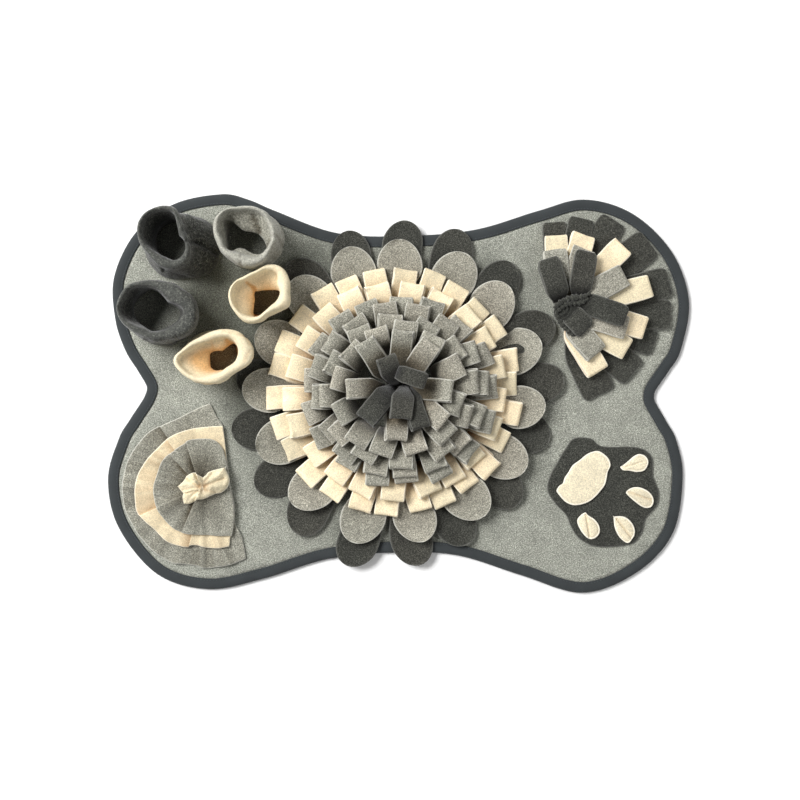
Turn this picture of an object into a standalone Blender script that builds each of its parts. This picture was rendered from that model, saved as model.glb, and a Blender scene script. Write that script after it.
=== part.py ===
"""Snuffle mat: a bone-shaped fleece mat that hides dry food for a dog.

A flat bone-shaped pad with a bound edge carries, all sewn down by their roots:
a big flower of petals and folded strips in its middle, five soft cups, a fan of
strips, a layered skirt under a bow, and a paw of flat patches.

+X runs along the mat, +Y across it, and it lies on z = 0. The tables and sizes
are in millimetres, and each object is made in metres.
"""

import math
import random

import bmesh
import bpy
from mathutils import Vector

MM = 0.001
GAP = 0.3  # air left between two pieces that touch
LOOSE_GAP = 0.4  # air where cloth lies loosely on cloth

# ---- the pad and its bound edge -------------------------------------------------

PAD_THICK = 5.0
BINDING_WIDE = 12.0
BINDING_THICK = 4.8
BINDING_CLOTH = 1.2
EDGE_ROUND = 0.6  # how far an edge of the pad or the binding is rounded off
OUTLINE_STEP = 25.0  # length of each straight side that the outline is cut into

# The outline from the left notch over the top to the right notch, then back below.
OUTLINE_TOP = (
    # x, y
    (-282, 3),
    (-297, 40),
    (-317, 84),
    (-318, 131),
    (-294, 180),
    (-251, 212),
    (-198, 223),
    (-137, 206),
    (-71, 183),
    (0, 176),
    (84, 184),
    (155, 204),
    (208, 217),
    (262, 201),
    (306, 159),
    (325, 103),
    (307, 34),
    (287, -2),
)
OUTLINE_BOTTOM = (
    # x, y
    (287, -2),
    (304, -42),
    (319, -94),
    (309, -156),
    (268, -201),
    (206, -223),
    (136, -203),
    (65, -181),
    (-5, -178),
    (-78, -185),
    (-150, -207),
    (-212, -219),
    (-270, -202),
    (-313, -150),
    (-325, -96),
    (-304, -34),
    (-282, 3),
)

# ---- the flower -----------------------------------------------------------------

FLOWER = Vector((-3.0, 3.0, 0.0))
PETAL_ROOT = (99.0, 111.0)  # inner and outer radius of the ring that petals grow from
PETAL_THICK = 1.8
PETAL_WIDEST_AT = 0.45  # share of a petal's length
PETAL_STEPS = (0.25, 0.5, 0.74, 0.9, 0.98)
DARK_PETAL = {"root_wide": 30.0, "wide": 43.0, "lift": 1.0}
GREY_PETAL = {"root_wide": 35.0, "wide": 47.0, "lift": 4.0}
DARK_PETALS = (
    # angle in degrees, reach from the flower's middle
    (2, 190),
    (24, 192),
    (46, 190),
    (67, 194),
    (88, 196),
    (108, 192),
    (128, 184),
    (150, 146),
    (176, 178),
    (196, 188),
    (215, 190),
    (235, 186),
    (255, 196),
    (275, 200),
    (295, 194),
    (318, 186),
    (342, 188),
)
GREY_PETALS = (
    # angle in degrees, reach from the flower's middle
    (18, 170),
    (41, 172),
    (63, 174),
    (88, 172),
    (110, 174),
    (132, 172),
    (156, 168),
    (180, 170),
    (204, 172),
    (228, 170),
    (254, 176),
    (278, 174),
    (303, 174),
    (329, 174),
    (352, 170),
)

STRIP_WIDE = 27.0
TIER_ROOT_THICK = 5.0
TIER_ROOT_HIGH = 3.0
ROOT_HALF = 0.4  # half of a strip's root, as a share of the angle between two strips
LOOP_STEPS = (0.2, 0.42, 0.66, 0.88, 1.0)
LOOP_THICK = (
    # share of the loop's length, thickness of the folded strip there
    (0.0, 5.0),
    (0.35, 4.2),
    (0.7, 5.0),
    (0.92, 6.2),
    (1.0, 3.4),
)
LOOP_FULL_AT = 0.7  # share of its length at which a loop has its whole width
# A loop's path is a curve with two handles: shares of its run and of its rise.
STAND_HANDLE = (0.02, 0.85)
LEAN_HANDLE = 0.34  # share of the run
LEAN_OVER = 2.4  # how far the second handle is over the loop's end
TIERS = (
    # name, count, root radius, reach, height of the ends, cloth, first angle
    ("flower_loops_cream_outer", 26, 93.5, 142.0, 16.5, "cream", 3.0),
    ("flower_loops_cream_inner", 21, 84.0, 125.0, 24.5, "cream", 13.0),
    ("flower_loops_grey_1", 17, 74.5, 111.5, 32.0, "grey", 2.0),
    ("flower_loops_grey_2", 16, 65.0, 99.5, 39.0, "grey", 7.0),
    ("flower_loops_grey_3", 12, 55.5, 86.0, 45.5, "grey", 6.0),
    ("flower_loops_grey_4", 12, 46.0, 73.5, 52.0, "grey", 20.0),
    ("flower_loops_grey_5", 7, 36.5, 61.0, 58.0, "grey", 31.0),
)
TIER_ROOM = 2.0  # width left free between two loops of a tier
YAW_SPREAD = 0.7  # share of the free angle that a loop turns by
REACH_SPREAD = 3.0
HEIGHT_SPREAD = 0.5
TIER_SEED = 11

CENTRE = Vector((7.0, 8.0, 0.0))  # the middle of the dark loops on the flower's top
CENTRE_ROOT_RADIUS = 11.0
CENTRE_ROOM = 1.0
CENTRE_LOOPS = (
    # angle in degrees, reach, height of the end
    (38, 27, 69),
    (121, 38, 67),
    (186, 44, 63),
    (221, 54, 64),
    (263, 60, 65),
    (299, 48, 67),
    (350, 40, 62),
)

# ---- the five cups --------------------------------------------------------------

CUP_SIDES = 20
CUP_COMPASS = (0, 45, 90, 135, 180, 225, 270, 315)  # degrees of the eight radii below
CUPS = {
    "cup_dark_back": {
        "cloth": "dark",
        "foot": (-238, 163),
        "foot_radii": (40, 38, 33, 36, 42, 41, 35, 39),
        "rim": (-250, 168),
        "rim_radii": (26, 27, 33, 33, 30, 29, 32, 31),
        "high": 60,
    },
    "cup_grey": {
        "cloth": "grey",
        "foot": (-162, 170),
        "foot_radii": (35, 33, 31, 31, 31, 31, 31, 33),
        "rim": (-164, 171),
        "rim_radii": (29, 30, 33, 35, 34, 33, 29, 28),
        "high": 56,
    },
    "cup_dark_front": {
        "cloth": "dark",
        "foot": (-263, 90),
        "foot_radii": (38, 34, 32, 33, 37, 35, 36, 38),
        "rim": (-264, 90),
        "rim_radii": (39, 35, 32, 34, 39, 34, 33, 38),
        "high": 54,
    },
    "cup_cream_back": {
        "cloth": "cream",
        "foot": (-151, 107),
        "foot_radii": (26, 26, 25, 27, 28, 26, 22, 23),
        "rim": (-152, 105),
        "rim_radii": (32, 32, 27, 29, 30, 31, 31, 30),
        "high": 50,
    },
    "cup_cream_front": {
        "cloth": "cream",
        "foot": (-208, 42),
        "foot_radii": (31, 30, 27, 28, 32, 30, 28, 28),
        "rim": (-200, 40),
        "rim_radii": (42, 39, 29, 28, 40, 34, 27, 31),
        "high": 46,
    },
}
# One side of a cup, from the foot up its outside, over the rim and down its inside.
CUP_WALL = (
    # share of the height, outward from the wall's middle line
    (0.0, 1.8),
    (0.33, 2.2),
    (0.37, 4.6),
    (0.72, 5.2),
    (0.93, 4.2),
    (1.0, 0.4),
    (0.95, -3.0),
    (0.70, -3.6),
    (0.0, -1.8),
)

# ---- the fan --------------------------------------------------------------------

FAN = Vector((179.0, 92.0, 0.0))
FAN_ROOT_RADIUS = 15.0
FAN_ROOT_THICK = 4.0
FAN_ROOT_HALF = 0.36  # as ROOT_HALF, and no more than the angle below
FAN_ROOT_MOST = 11.0  # degrees
FAN_STEPS = (0.14, 0.34, 0.6, 0.85, 0.97, 1.0)
FAN_RISEN_AT = 0.6  # share of a strip's length at which it is as high as its end
FAN_THICK_AT = 0.5  # share of a strip's length at which it has its whole thickness
FAN_ROOM = 1.2
FAN_END_NARROWER = 3.0
FAN_END_THICK = 0.6  # share of the strip's thickness at its end
FAN_LAYERS = {
    "fan_flaps_dark": {
        "cloth": "dark",
        "bottom": 0.0,
        "thick": 2.0,
        "end": 1.2,
        "wide": 30.0,
        "root_high": 2.0,
        "strips": (
            # angle in degrees, reach
            (-64, 104),
            (-40, 108),
            (-19, 112),
            (-2, 124),
            (15, 126),
            (37, 126),
            (59, 118),
            (76, 106),
            (93, 99),
        ),
    },
    "fan_loops_cream": {
        "cloth": "cream",
        "bottom": 2.4,
        "thick": 5.0,
        "end": 6.4,
        "wide": STRIP_WIDE,
        "root_high": 3.0,
        "strips": (
            (-58, 82),
            (-31, 88),
            (-10, 100),
            (15, 106),
            (46, 102),
            (72, 89),
            (94, 82),
        ),
    },
    "fan_loops_grey": {
        "cloth": "grey",
        "bottom": 5.8,
        "thick": 5.0,
        "end": 13.4,
        "wide": STRIP_WIDE,
        "root_high": 3.0,
        "strips": (
            (-53, 64),
            (-14, 77),
            (29, 82),
            (67, 73),
            (96, 67),
        ),
    },
    "fan_loops_dark": {
        "cloth": "dark",
        "bottom": 9.2,
        "thick": 5.5,
        "end": 20.5,
        "wide": 29.0,
        "root_high": 5.0,
        "strips": (
            (-40, 47),
            (-1, 75),
            (62, 68),
            (101, 56),
        ),
    },
}

# ---- the skirt ------------------------------------------------------------------

SKIRT = Vector((-217.0, -103.0, 0.0))
SKIRT_SIDES = 30
SKIRT_CLOTH = 1.8
SKIRT_RINGS = (0.16, 0.42, 0.72, 1.0)  # shares of the reach
SKIRT_AIR = 0.7
# Each layer's edge is drawn through these rows, and its folds stand up along rays.
SKIRT_LAYERS = {
    "skirt_grey_outer": {
        "cloth": "grey",
        "crown": 2.6,
        "edge": (
            # angle in degrees, reach
            (0, 31),
            (27, 33),
            (57, 50),
            (72, 72),
            (86, 93),
            (101, 87),
            (121, 83),
            (157, 90),
            (182, 92),
            (218, 90),
            (236, 87),
            (252, 88),
            (271, 92),
            (288, 93),
            (301, 93),
            (308, 74),
            (322, 46),
        ),
        "folds": (
            # angle in degrees, half its width in degrees, height
            (92, 15, 5.0),
            (126, 13, 3.0),
            (160, 15, 2.4),
            (196, 15, 2.6),
            (226, 12, 2.6),
            (256, 11, 3.4),
            (279, 11, 4.2),
            (300, 10, 3.0),
        ),
    },
    "skirt_cream": {
        "cloth": "cream",
        "crown": 2.4,
        "edge": (
            (0, 31),
            (27, 33),
            (57, 50),
            (71, 71),
            (82, 68),
            (104, 65),
            (125, 66),
            (151, 70),
            (180, 74),
            (207, 78),
            (218, 75),
            (252, 70),
            (264, 66),
            (280, 69),
            (295, 73),
            (301, 63),
            (322, 46),
        ),
        "folds": (
            (88, 14, 2.4),
            (120, 12, 3.4),
            (150, 13, 2.6),
            (178, 14, 3.4),
            (208, 14, 3.4),
            (243, 14, 2.8),
            (276, 13, 2.8),
        ),
    },
    "skirt_grey_inner": {
        "cloth": "grey",
        "crown": 2.4,
        "edge": (
            (0, 31),
            (27, 32),
            (56, 48),
            (69, 58),
            (104, 54),
            (134, 52),
            (163, 50),
            (186, 53),
            (220, 57),
            (241, 57),
            (262, 52),
            (290, 55),
            (302, 62),
            (322, 46),
        ),
        "folds": (
            (78, 15, 5.0),
            (112, 11, 6.5),
            (139, 11, 6.5),
            (182, 20, 3.0),
            (222, 13, 4.5),
            (246, 10, 7.0),
            (283, 15, 4.0),
            (312, 12, 5.0),
        ),
    },
}
BOW_TURN = 18.0  # degrees
BOW_AIR = 0.6
BOW_REST = 4.0  # how far to each side along the band its underside is kept clear of the skirt
BOW_PROFILE = (
    # share of the breadth, share of the height
    (-0.5, 0.0),
    (-0.5, 0.55),
    (-0.3, 1.0),
    (0.3, 1.0),
    (0.5, 0.55),
    (0.5, 0.0),
)
BOW_SECTIONS = (
    # along the band, its breadth there, its height there
    (-29, 20, 3.5),
    (-24, 33, 7.5),
    (-13, 34, 8.5),
    (-5, 22, 4.5),
    (3, 22, 5.5),
    (10, 27, 8.5),
    (22, 28, 8.5),
    (29, 24, 3.5),
)

# ---- the paw --------------------------------------------------------------------

PAW_CLOTH = 2.0
PAW_CROWN = 1.0
PAW_RIM = 2.5  # breadth of the sloped rim
PAW_RIM_HIGH = 0.7  # share of the cloth's thickness at the very edge
PATCH_STEP = 9.0
PAD_STEP = 7.0
PAW_PATCH = (
    # x, y
    (196, -50),
    (214, -50),
    (228, -59),
    (266, -60),
    (282, -70),
    (284, -92),
    (290, -109),
    (288, -125),
    (276, -139),
    (271, -155),
    (259, -168),
    (223, -171),
    (203, -163),
    (193, -150),
    (187, -136),
    (175, -123),
    (166, -108),
    (169, -92),
    (177, -77),
    (187, -60),
)
PAW_PAD = (
    # x, y
    (212, -64),
    (227, -65),
    (234, -75),
    (231, -92),
    (229, -105),
    (219, -115),
    (209, -122),
    (196, -123),
    (182, -116),
    (177, -108),
    (184, -97),
    (188, -88),
    (196, -77),
)
PAW_TOES = (
    # x and y of the pointed end, x and y of the round end, width
    ((247, -81), (276, -75), 20),
    ((253, -109), (282, -120), 18),
    ((239, -136), (258, -164), 19),
    ((207, -132), (217, -160), 22),
)
TOE_SIDES = (
    # share of the length, share of the width
    (0.0, 0.0),
    (0.18, 0.52),
    (0.42, 0.9),
    (0.66, 1.0),
    (0.86, 0.74),
    (0.97, 0.36),
)

COLOURS = {
    # red, green, blue, roughness
    "pad": (0.33, 0.33, 0.31, 0.95),
    "grey": (0.34, 0.33, 0.31, 0.95),
    "dark": (0.10, 0.095, 0.085, 0.95),
    "cream": (0.86, 0.76, 0.55, 0.95),
    "binding": (0.06, 0.07, 0.08, 0.85),
}


class Body:
    """The points and faces of one closed solid."""

    def __init__(self):
        self.points = []
        self.faces = []

    def ring(self, points):
        first = len(self.points)
        self.points.extend(Vector(p) for p in points)
        return list(range(first, len(self.points)))

    def bridge(self, a, b, closed=True):
        """Join two rings with quads, or with triangles where one is a single point."""
        if len(a) == 1:
            a = a * len(b)
        if len(b) == 1:
            b = b * len(a)
        count = len(a) if closed else len(a) - 1
        for i in range(count):
            j = (i + 1) % len(a)
            corners = [a[i], a[j], b[j], b[i]]
            self.faces.append(list(dict.fromkeys(corners)))

    def chain(self, rings):
        for low, high in zip(rings, rings[1:]):
            self.bridge(low, high)

    def cap(self, ring):
        self.faces.append(list(ring))

    def make(self, name, cloth):
        """Turn the points and faces into a Blender object with its cloth's material."""
        mesh = bpy.data.meshes.new(name)
        mesh.from_pydata([p * MM for p in self.points], [], self.faces)
        shape = bmesh.new()
        shape.from_mesh(mesh)
        bmesh.ops.recalc_face_normals(shape, faces=shape.faces)
        shape.to_mesh(mesh)
        shape.free()
        mesh.shade_smooth()
        mesh.set_sharp_from_angle(angle=math.radians(50))
        mesh.materials.append(cloth_material(cloth))
        made = bpy.data.objects.new(name, mesh)
        bpy.context.scene.collection.objects.link(made)
        return made


def cloth_material(cloth):
    name = "fleece_" + cloth
    found = bpy.data.materials.get(name)
    if found:
        return found
    red, green, blue, rough = COLOURS[cloth]
    made = bpy.data.materials.new(name)
    made.use_nodes = True
    shader = made.node_tree.nodes["Principled BSDF"]
    shader.inputs["Base Color"].default_value = (red, green, blue, 1.0)
    shader.inputs["Roughness"].default_value = rough
    shader.inputs["Metallic"].default_value = 0.0
    return made


def clear_scene():
    for item in list(bpy.data.objects):
        bpy.data.objects.remove(item, do_unlink=True)


# ---- curves ---------------------------------------------------------------------


def spline_point(before, start, end, after, t):
    """A point between start and end on a smooth curve through four points."""
    slope_a = (end - before) / 2
    slope_b = (after - start) / 2
    return (
        start * (2 * t**3 - 3 * t**2 + 1)
        + slope_a * (t**3 - 2 * t**2 + t)
        + end * (3 * t**2 - 2 * t**3)
        + slope_b * (t**3 - t**2)
    )


def smooth_line(rows, closed, pieces=12):
    """Fine points of a smooth curve through the rows of a table."""
    knots = [Vector((x, y, 0.0)) for x, y in rows]
    count = len(knots)
    spans = count if closed else count - 1
    points = []
    for i in range(spans):
        if closed:
            four = [knots[(i + k) % count] for k in (-1, 0, 1, 2)]
        else:
            four = [knots[min(max(i + k, 0), count - 1)] for k in (-1, 0, 1, 2)]
        points.extend(spline_point(*four, step / pieces) for step in range(pieces))
    if not closed:
        points.append(knots[-1])
    return points


def even_points(line, step, closed):
    """The line again, with points an even distance apart, its ends kept."""
    line = list(line) + ([line[0]] if closed else [])
    along = [0.0]
    for a, b in zip(line, line[1:]):
        along.append(along[-1] + (b - a).length)
    count = max(3, round(along[-1] / step))
    points, k = [], 0
    for i in range(count if closed else count + 1):
        wanted = along[-1] * i / count
        while k < len(line) - 2 and along[k + 1] < wanted:
            k += 1
        share = (wanted - along[k]) / (along[k + 1] - along[k])
        points.append(line[k].lerp(line[k + 1], share))
    return points


def mat_outline():
    """The bone outline, clockwise from its left notch, as points with a sharp notch at each end."""
    top = even_points(smooth_line(OUTLINE_TOP, closed=False), OUTLINE_STEP, closed=False)
    bottom = even_points(smooth_line(OUTLINE_BOTTOM, closed=False), OUTLINE_STEP, closed=False)
    return top[:-1] + bottom[:-1]


def inset(outline, distance):
    """A clockwise outline moved inwards, each corner along its own bisector."""
    moved = []
    count = len(outline)
    for i, point in enumerate(outline):
        ahead = (outline[(i + 1) % count] - point).normalized()
        behind = (point - outline[i - 1]).normalized()
        inward_a = Vector((behind.y, -behind.x, 0.0))
        inward_b = Vector((ahead.y, -ahead.x, 0.0))
        bisector = (inward_a + inward_b).normalized()
        moved.append(point + bisector * (distance / bisector.dot(inward_b)))
    return moved


def at_height(points, z):
    return [Vector((p.x, p.y, z)) for p in points]


def polar(centre, radius, angle, z):
    return Vector((centre.x + radius * math.cos(angle), centre.y + radius * math.sin(angle), z))


def read_table(rows, at):
    """The value at a place between the rows of a two-column table."""
    for (x0, y0), (x1, y1) in zip(rows, rows[1:]):
        if at <= x1:
            return y0 + (y1 - y0) * (at - x0) / (x1 - x0)
    return rows[-1][1]


def round_table(rows, angle):
    """The smooth value at an angle in a table of (angle, value) rows that goes all the way round."""
    angle %= 360
    count = len(rows)
    after = next((i for i, row in enumerate(rows) if row[0] > angle), count)
    four = []
    for k in (-2, -1, 0, 1):
        turn, i = divmod(after + k, count)
        four.append((rows[i][0] + 360 * turn, rows[i][1]))
    share = (angle - four[1][0]) / (four[2][0] - four[1][0])
    return spline_point(four[0][1], four[1][1], four[2][1], four[3][1], share)


def ease(share):
    share = min(max(share, 0.0), 1.0)
    return share * share * (3 - 2 * share)


# ---- pieces ---------------------------------------------------------------------


def make_pad():
    """The flat pad. Its edge is pressed thin where the binding holds it."""
    outline = mat_outline()
    leaf_low = BINDING_CLOTH + LOOSE_GAP
    leaf_high = BINDING_THICK - BINDING_CLOTH - LOOSE_GAP
    held = BINDING_WIDE + LOOSE_GAP
    edge = BINDING_CLOTH + 2 * GAP
    body = Body()
    rings = [
        body.ring(at_height(inset(outline, distance), z))
        for distance, z in (
            (held, 0.0),
            (held, leaf_low),
            (edge, leaf_low),
            (edge, leaf_high),
            (held, leaf_high),
            (held + EDGE_ROUND, PAD_THICK),
        )
    ]
    body.cap(rings[0])
    body.chain(rings)
    body.cap(rings[-1])
    return body.make("base_mat", "pad")


def make_binding():
    """A strip folded over the pad's edge, open towards the middle of the mat."""
    outline = mat_outline()
    cloth = BINDING_CLOTH
    section = (
        # distance in from the outline, height
        (EDGE_ROUND, 0.0),
        (0.0, BINDING_THICK / 2),
        (EDGE_ROUND, BINDING_THICK),
        (BINDING_WIDE, BINDING_THICK),
        (BINDING_WIDE, BINDING_THICK - cloth),
        (cloth, BINDING_THICK - cloth),
        (cloth, cloth),
        (BINDING_WIDE, cloth),
        (BINDING_WIDE, 0.0),
    )
    body = Body()
    rings = [body.ring(at_height(inset(outline, distance), z)) for distance, z in section]
    body.chain(rings + rings[:1])
    return body.make("edge_binding", "binding")


def strand_section(centre, angle, radius, z, lean, wide, thick):
    """The four corners of a strand's section. lean is the path's direction as (out, up)."""
    out = Vector((math.cos(angle), math.sin(angle), 0.0))
    side = Vector((-math.sin(angle), math.cos(angle), 0.0))
    run, rise = lean
    normal = (Vector((0.0, 0.0, 1.0)) * run - out * rise) / math.hypot(run, rise)
    middle = polar(centre, radius, angle, z)
    corners = ((1, -1), (1, 1), (-1, 1), (-1, -1))
    return [middle + normal * (n * thick / 2) + side * (s * wide / 2) for n, s in corners]


def backing_with_strands(body, centre, radii, heights, strands, face, closed):
    """A strip bent round centre, with a strand out of one face of it for each of strands.

    A strand is (angle, half its root's angle, sections further along it). The
    strip's sections are two for each strand, so the strands stand apart.
    """
    sections = []
    for angle, half, _ in strands:
        for turn in (angle - half, angle + half):
            low_high = [(radii[0], heights[0]), (radii[1], heights[0])]
            low_high += [(radii[1], heights[1]), (radii[0], heights[1])]
            sections.append(body.ring([polar(centre, r, turn, z) for r, z in low_high]))
    open_side = 2 if face == "top" else 1
    count = len(sections)
    for i in range(count if closed else count - 1):
        a, b = sections[i], sections[(i + 1) % count]
        for k in range(4):
            if i % 2 == 0 and k == open_side:
                continue
            n = (k + 1) % 4
            body.faces.append([a[k], a[n], b[n], b[k]])
    if not closed:
        body.cap(sections[0])
        body.cap(sections[-1])
    for i, (_, _, further) in enumerate(strands):
        a, b = sections[2 * i], sections[2 * i + 1]
        k = open_side
        rings = [[a[k + 1], b[k + 1], b[k], a[k]]] + [body.ring(section) for section in further]
        body.chain(rings)
        body.cap(rings[-1])


def petal_wide(petal, share):
    if share < PETAL_WIDEST_AT:
        grown = math.sin(math.pi / 2 * share / PETAL_WIDEST_AT)
        return petal["root_wide"] + (petal["wide"] - petal["root_wide"]) * grown
    past = (share - PETAL_WIDEST_AT) / (1 - PETAL_WIDEST_AT)
    return petal["wide"] * math.sqrt(1 - past * past)


def make_petals(name, cloth, petal, rows, bottom):
    """One round of petals on a flat ring, each a rounded leaf of cloth."""
    inner, outer = PETAL_ROOT
    strands = []
    for degrees, reach in rows:
        angle = math.radians(degrees)
        sections = []
        for share in PETAL_STEPS:
            radius = outer + (reach - outer) * share
            z = bottom + PETAL_THICK / 2 + petal["lift"] * share**2
            lean = (reach - outer, 2 * petal["lift"] * share)
            wide = petal_wide(petal, share)
            sections.append(strand_section(FLOWER, angle, radius, z, lean, wide, PETAL_THICK))
        strands.append((angle, math.asin(petal["root_wide"] / 2 / outer), sections))
    body = Body()
    heights = (bottom, bottom + PETAL_THICK)
    backing_with_strands(body, FLOWER, PETAL_ROOT, heights, strands, "side", closed=True)
    return body.make(name, cloth)


def arch(root, end, t):
    """The place and direction at t on a strip that goes up from its root and then leans outwards."""
    (r0, z0), (r3, z3) = root, end
    run = r3 - r0
    knots = (
        (r0, z0),
        (r0 + STAND_HANDLE[0] * run, z0 + STAND_HANDLE[1] * (z3 - z0)),
        (r0 + LEAN_HANDLE * run, z3 + LEAN_OVER),
        (r3, z3),
    )
    weights = ((1 - t) ** 3, 3 * t * (1 - t) ** 2, 3 * t * t * (1 - t), t**3)
    place = [sum(w * k[axis] for w, k in zip(weights, knots)) for axis in (0, 1)]
    slopes = ((1 - t) ** 2, 2 * t * (1 - t), t * t)
    steps = [(b[0] - a[0], b[1] - a[1]) for a, b in zip(knots, knots[1:])]
    lean = [sum(w * s[axis] for w, s in zip(slopes, steps)) for axis in (0, 1)]
    return place, lean


def loop_sections(centre, angle, yaw, root, end, root_wide, room):
    """The sections of one loop. room(r) is the width that its neighbours leave it at radius r."""
    sections = []
    for t in LOOP_STEPS:
        (radius, z), lean = arch(root, end, t)
        wide = root_wide + (STRIP_WIDE - root_wide) * ease(t / LOOP_FULL_AT)
        wide = min(wide, room(radius))
        turned = angle + yaw * ease(t)
        thick = read_table(LOOP_THICK, t)
        sections.append(strand_section(centre, turned, radius, z, lean, wide, thick))
    return sections


def make_tier(row, seed):
    """One round of folded strips of the flower, on a narrow ring sewn to the pad."""
    name, count, root_radius, reach, end_high, cloth, first = row
    chance = random.Random(seed)
    bottom = PAD_THICK + GAP
    top = bottom + TIER_ROOT_HIGH
    pitch = 2 * math.pi / count
    half = ROOT_HALF * pitch
    root_wide = 2 * root_radius * math.sin(half)
    spare = (pitch * reach - STRIP_WIDE) / 2 / reach
    strands = []
    for i in range(count):
        angle = math.radians(first) + i * pitch
        yaw = chance.uniform(-YAW_SPREAD, YAW_SPREAD) * spare
        far = reach + chance.uniform(-REACH_SPREAD, REACH_SPREAD)
        high = end_high + chance.uniform(-HEIGHT_SPREAD, HEIGHT_SPREAD)
        sections = loop_sections(
            FLOWER,
            angle,
            yaw,
            (root_radius, top),
            (far, high),
            root_wide,
            lambda r: pitch * r - TIER_ROOM,
        )
        strands.append((angle, half, sections))
    body = Body()
    radii = (root_radius - TIER_ROOT_THICK / 2, root_radius + TIER_ROOT_THICK / 2)
    backing_with_strands(body, FLOWER, radii, (bottom, top), strands, "top", closed=True)
    return body.make(name, cloth)


def make_centre():
    """The dark loops that crown the flower, on a small ring of their own."""
    bottom = PAD_THICK + GAP
    top = bottom + TIER_ROOT_HIGH
    rows = sorted(CENTRE_LOOPS)
    strands = []
    for i, (degrees, reach, high) in enumerate(rows):
        after = rows[(i + 1) % len(rows)][0] + (360 if i + 1 == len(rows) else 0)
        before = rows[i - 1][0] - (360 if i == 0 else 0)
        share = math.radians(min(after - degrees, degrees - before))
        half = ROOT_HALF * share
        root_wide = 2 * CENTRE_ROOT_RADIUS * math.sin(half)
        sections = loop_sections(
            CENTRE,
            math.radians(degrees),
            0.0,
            (CENTRE_ROOT_RADIUS, top),
            (reach, high),
            root_wide,
            lambda r, share=share: 2 * r * math.tan(share / 2) - CENTRE_ROOM,
        )
        strands.append((math.radians(degrees), half, sections))
    body = Body()
    radii = (CENTRE_ROOT_RADIUS - TIER_ROOT_THICK / 2, CENTRE_ROOT_RADIUS + TIER_ROOT_THICK / 2)
    backing_with_strands(body, CENTRE, radii, (bottom, top), strands, "top", closed=True)
    return body.make("flower_loops_dark", "dark")


def make_cup(name, cup):
    """A soft tube open at its top and sewn down round its foot, with a turned-down cuff."""
    bottom = PAD_THICK + GAP
    foot_rows = list(zip(CUP_COMPASS, cup["foot_radii"]))
    rim_rows = list(zip(CUP_COMPASS, cup["rim_radii"]))
    foot, rim = Vector((*cup["foot"], 0.0)), Vector((*cup["rim"], 0.0))
    body = Body()
    rings = []
    for share, outward in CUP_WALL:
        z = bottom + share * cup["high"]
        centre = foot.lerp(rim, ease(share))
        points = []
        for i in range(CUP_SIDES):
            degrees = 360 * i / CUP_SIDES
            low = round_table(foot_rows, degrees) - CUP_WALL[0][1]
            high = round_table(rim_rows, degrees) - CUP_WALL[3][1]
            radius = low + (high - low) * ease(share) + outward
            points.append(polar(centre, radius, math.radians(degrees), z))
        rings.append(body.ring(points))
    body.chain(rings + rings[:1])
    return body.make(name, cup["cloth"])


def make_fan_layer(name, layer):
    """One layer of the fan: strips that spread from an arc of stitching at its root."""
    bottom = PAD_THICK + GAP + layer["bottom"]
    top = bottom + layer["root_high"]
    inner = FAN_ROOT_RADIUS - FAN_ROOT_THICK / 2
    outer = FAN_ROOT_RADIUS + FAN_ROOT_THICK / 2
    rows = layer["strips"]
    strands = []
    for i, (degrees, reach) in enumerate(rows):
        sides = [abs(degrees - rows[k][0]) for k in (i - 1, i + 1) if 0 <= k < len(rows)]
        share = math.radians(min(sides))
        angle = math.radians(degrees)
        root_half = min(FAN_ROOT_HALF * share, math.radians(FAN_ROOT_MOST))
        middle = (bottom + top) / 2
        end_z = PAD_THICK + GAP + layer["end"] + layer["thick"] / 2
        sections = []
        for t in FAN_STEPS:
            radius = outer + (reach - outer) * t
            risen = math.pi / 2 * min(t / FAN_RISEN_AT, 1.0)
            z = middle + (end_z - middle) * math.sin(risen)
            slope = (end_z - middle) * math.pi / 2 / FAN_RISEN_AT * math.cos(risen)
            wide = min(layer["wide"], 2 * radius * math.tan(share / 2) - FAN_ROOM)
            grown = ease(t / FAN_THICK_AT)
            thick = layer["root_high"] + (layer["thick"] - layer["root_high"]) * grown
            if t == FAN_STEPS[-1]:
                wide, thick = wide - FAN_END_NARROWER, thick * FAN_END_THICK
            lean = (reach - outer, slope)
            sections.append(strand_section(FAN, angle, radius, z, lean, wide, thick))
        strands.append((angle, root_half, sections))
    body = Body()
    radii, heights = (inner, outer), (bottom, top)
    backing_with_strands(body, FAN, radii, heights, strands, "side", closed=False)
    return body.make(name, layer["cloth"])


def fold_height(folds, degrees):
    """How high the folds of a skirt layer stand at its edge in one direction."""
    high = 0.0
    for at, half, tall in folds:
        away = abs((degrees - at + 180) % 360 - 180)
        if away < half:
            high += tall * (0.5 + 0.5 * math.cos(math.pi * away / half))
    return high


def skirt_height(order, degrees, radius):
    """The height over the pad of the underside of a skirt layer, each layer on those below it."""
    names = list(SKIRT_LAYERS)
    high = GAP
    for k, name in enumerate(names[: order + 1]):
        layer = SKIRT_LAYERS[name]
        reach = round_table(layer["edge"], degrees)
        out = min(radius / reach, 1.0)
        high += layer["crown"] * (1 - out) ** 2
        high += fold_height(layer["folds"], degrees) * ease(out / 0.8) * 0.8
        if k < order:
            high += SKIRT_CLOTH + SKIRT_AIR
    return high


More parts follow.
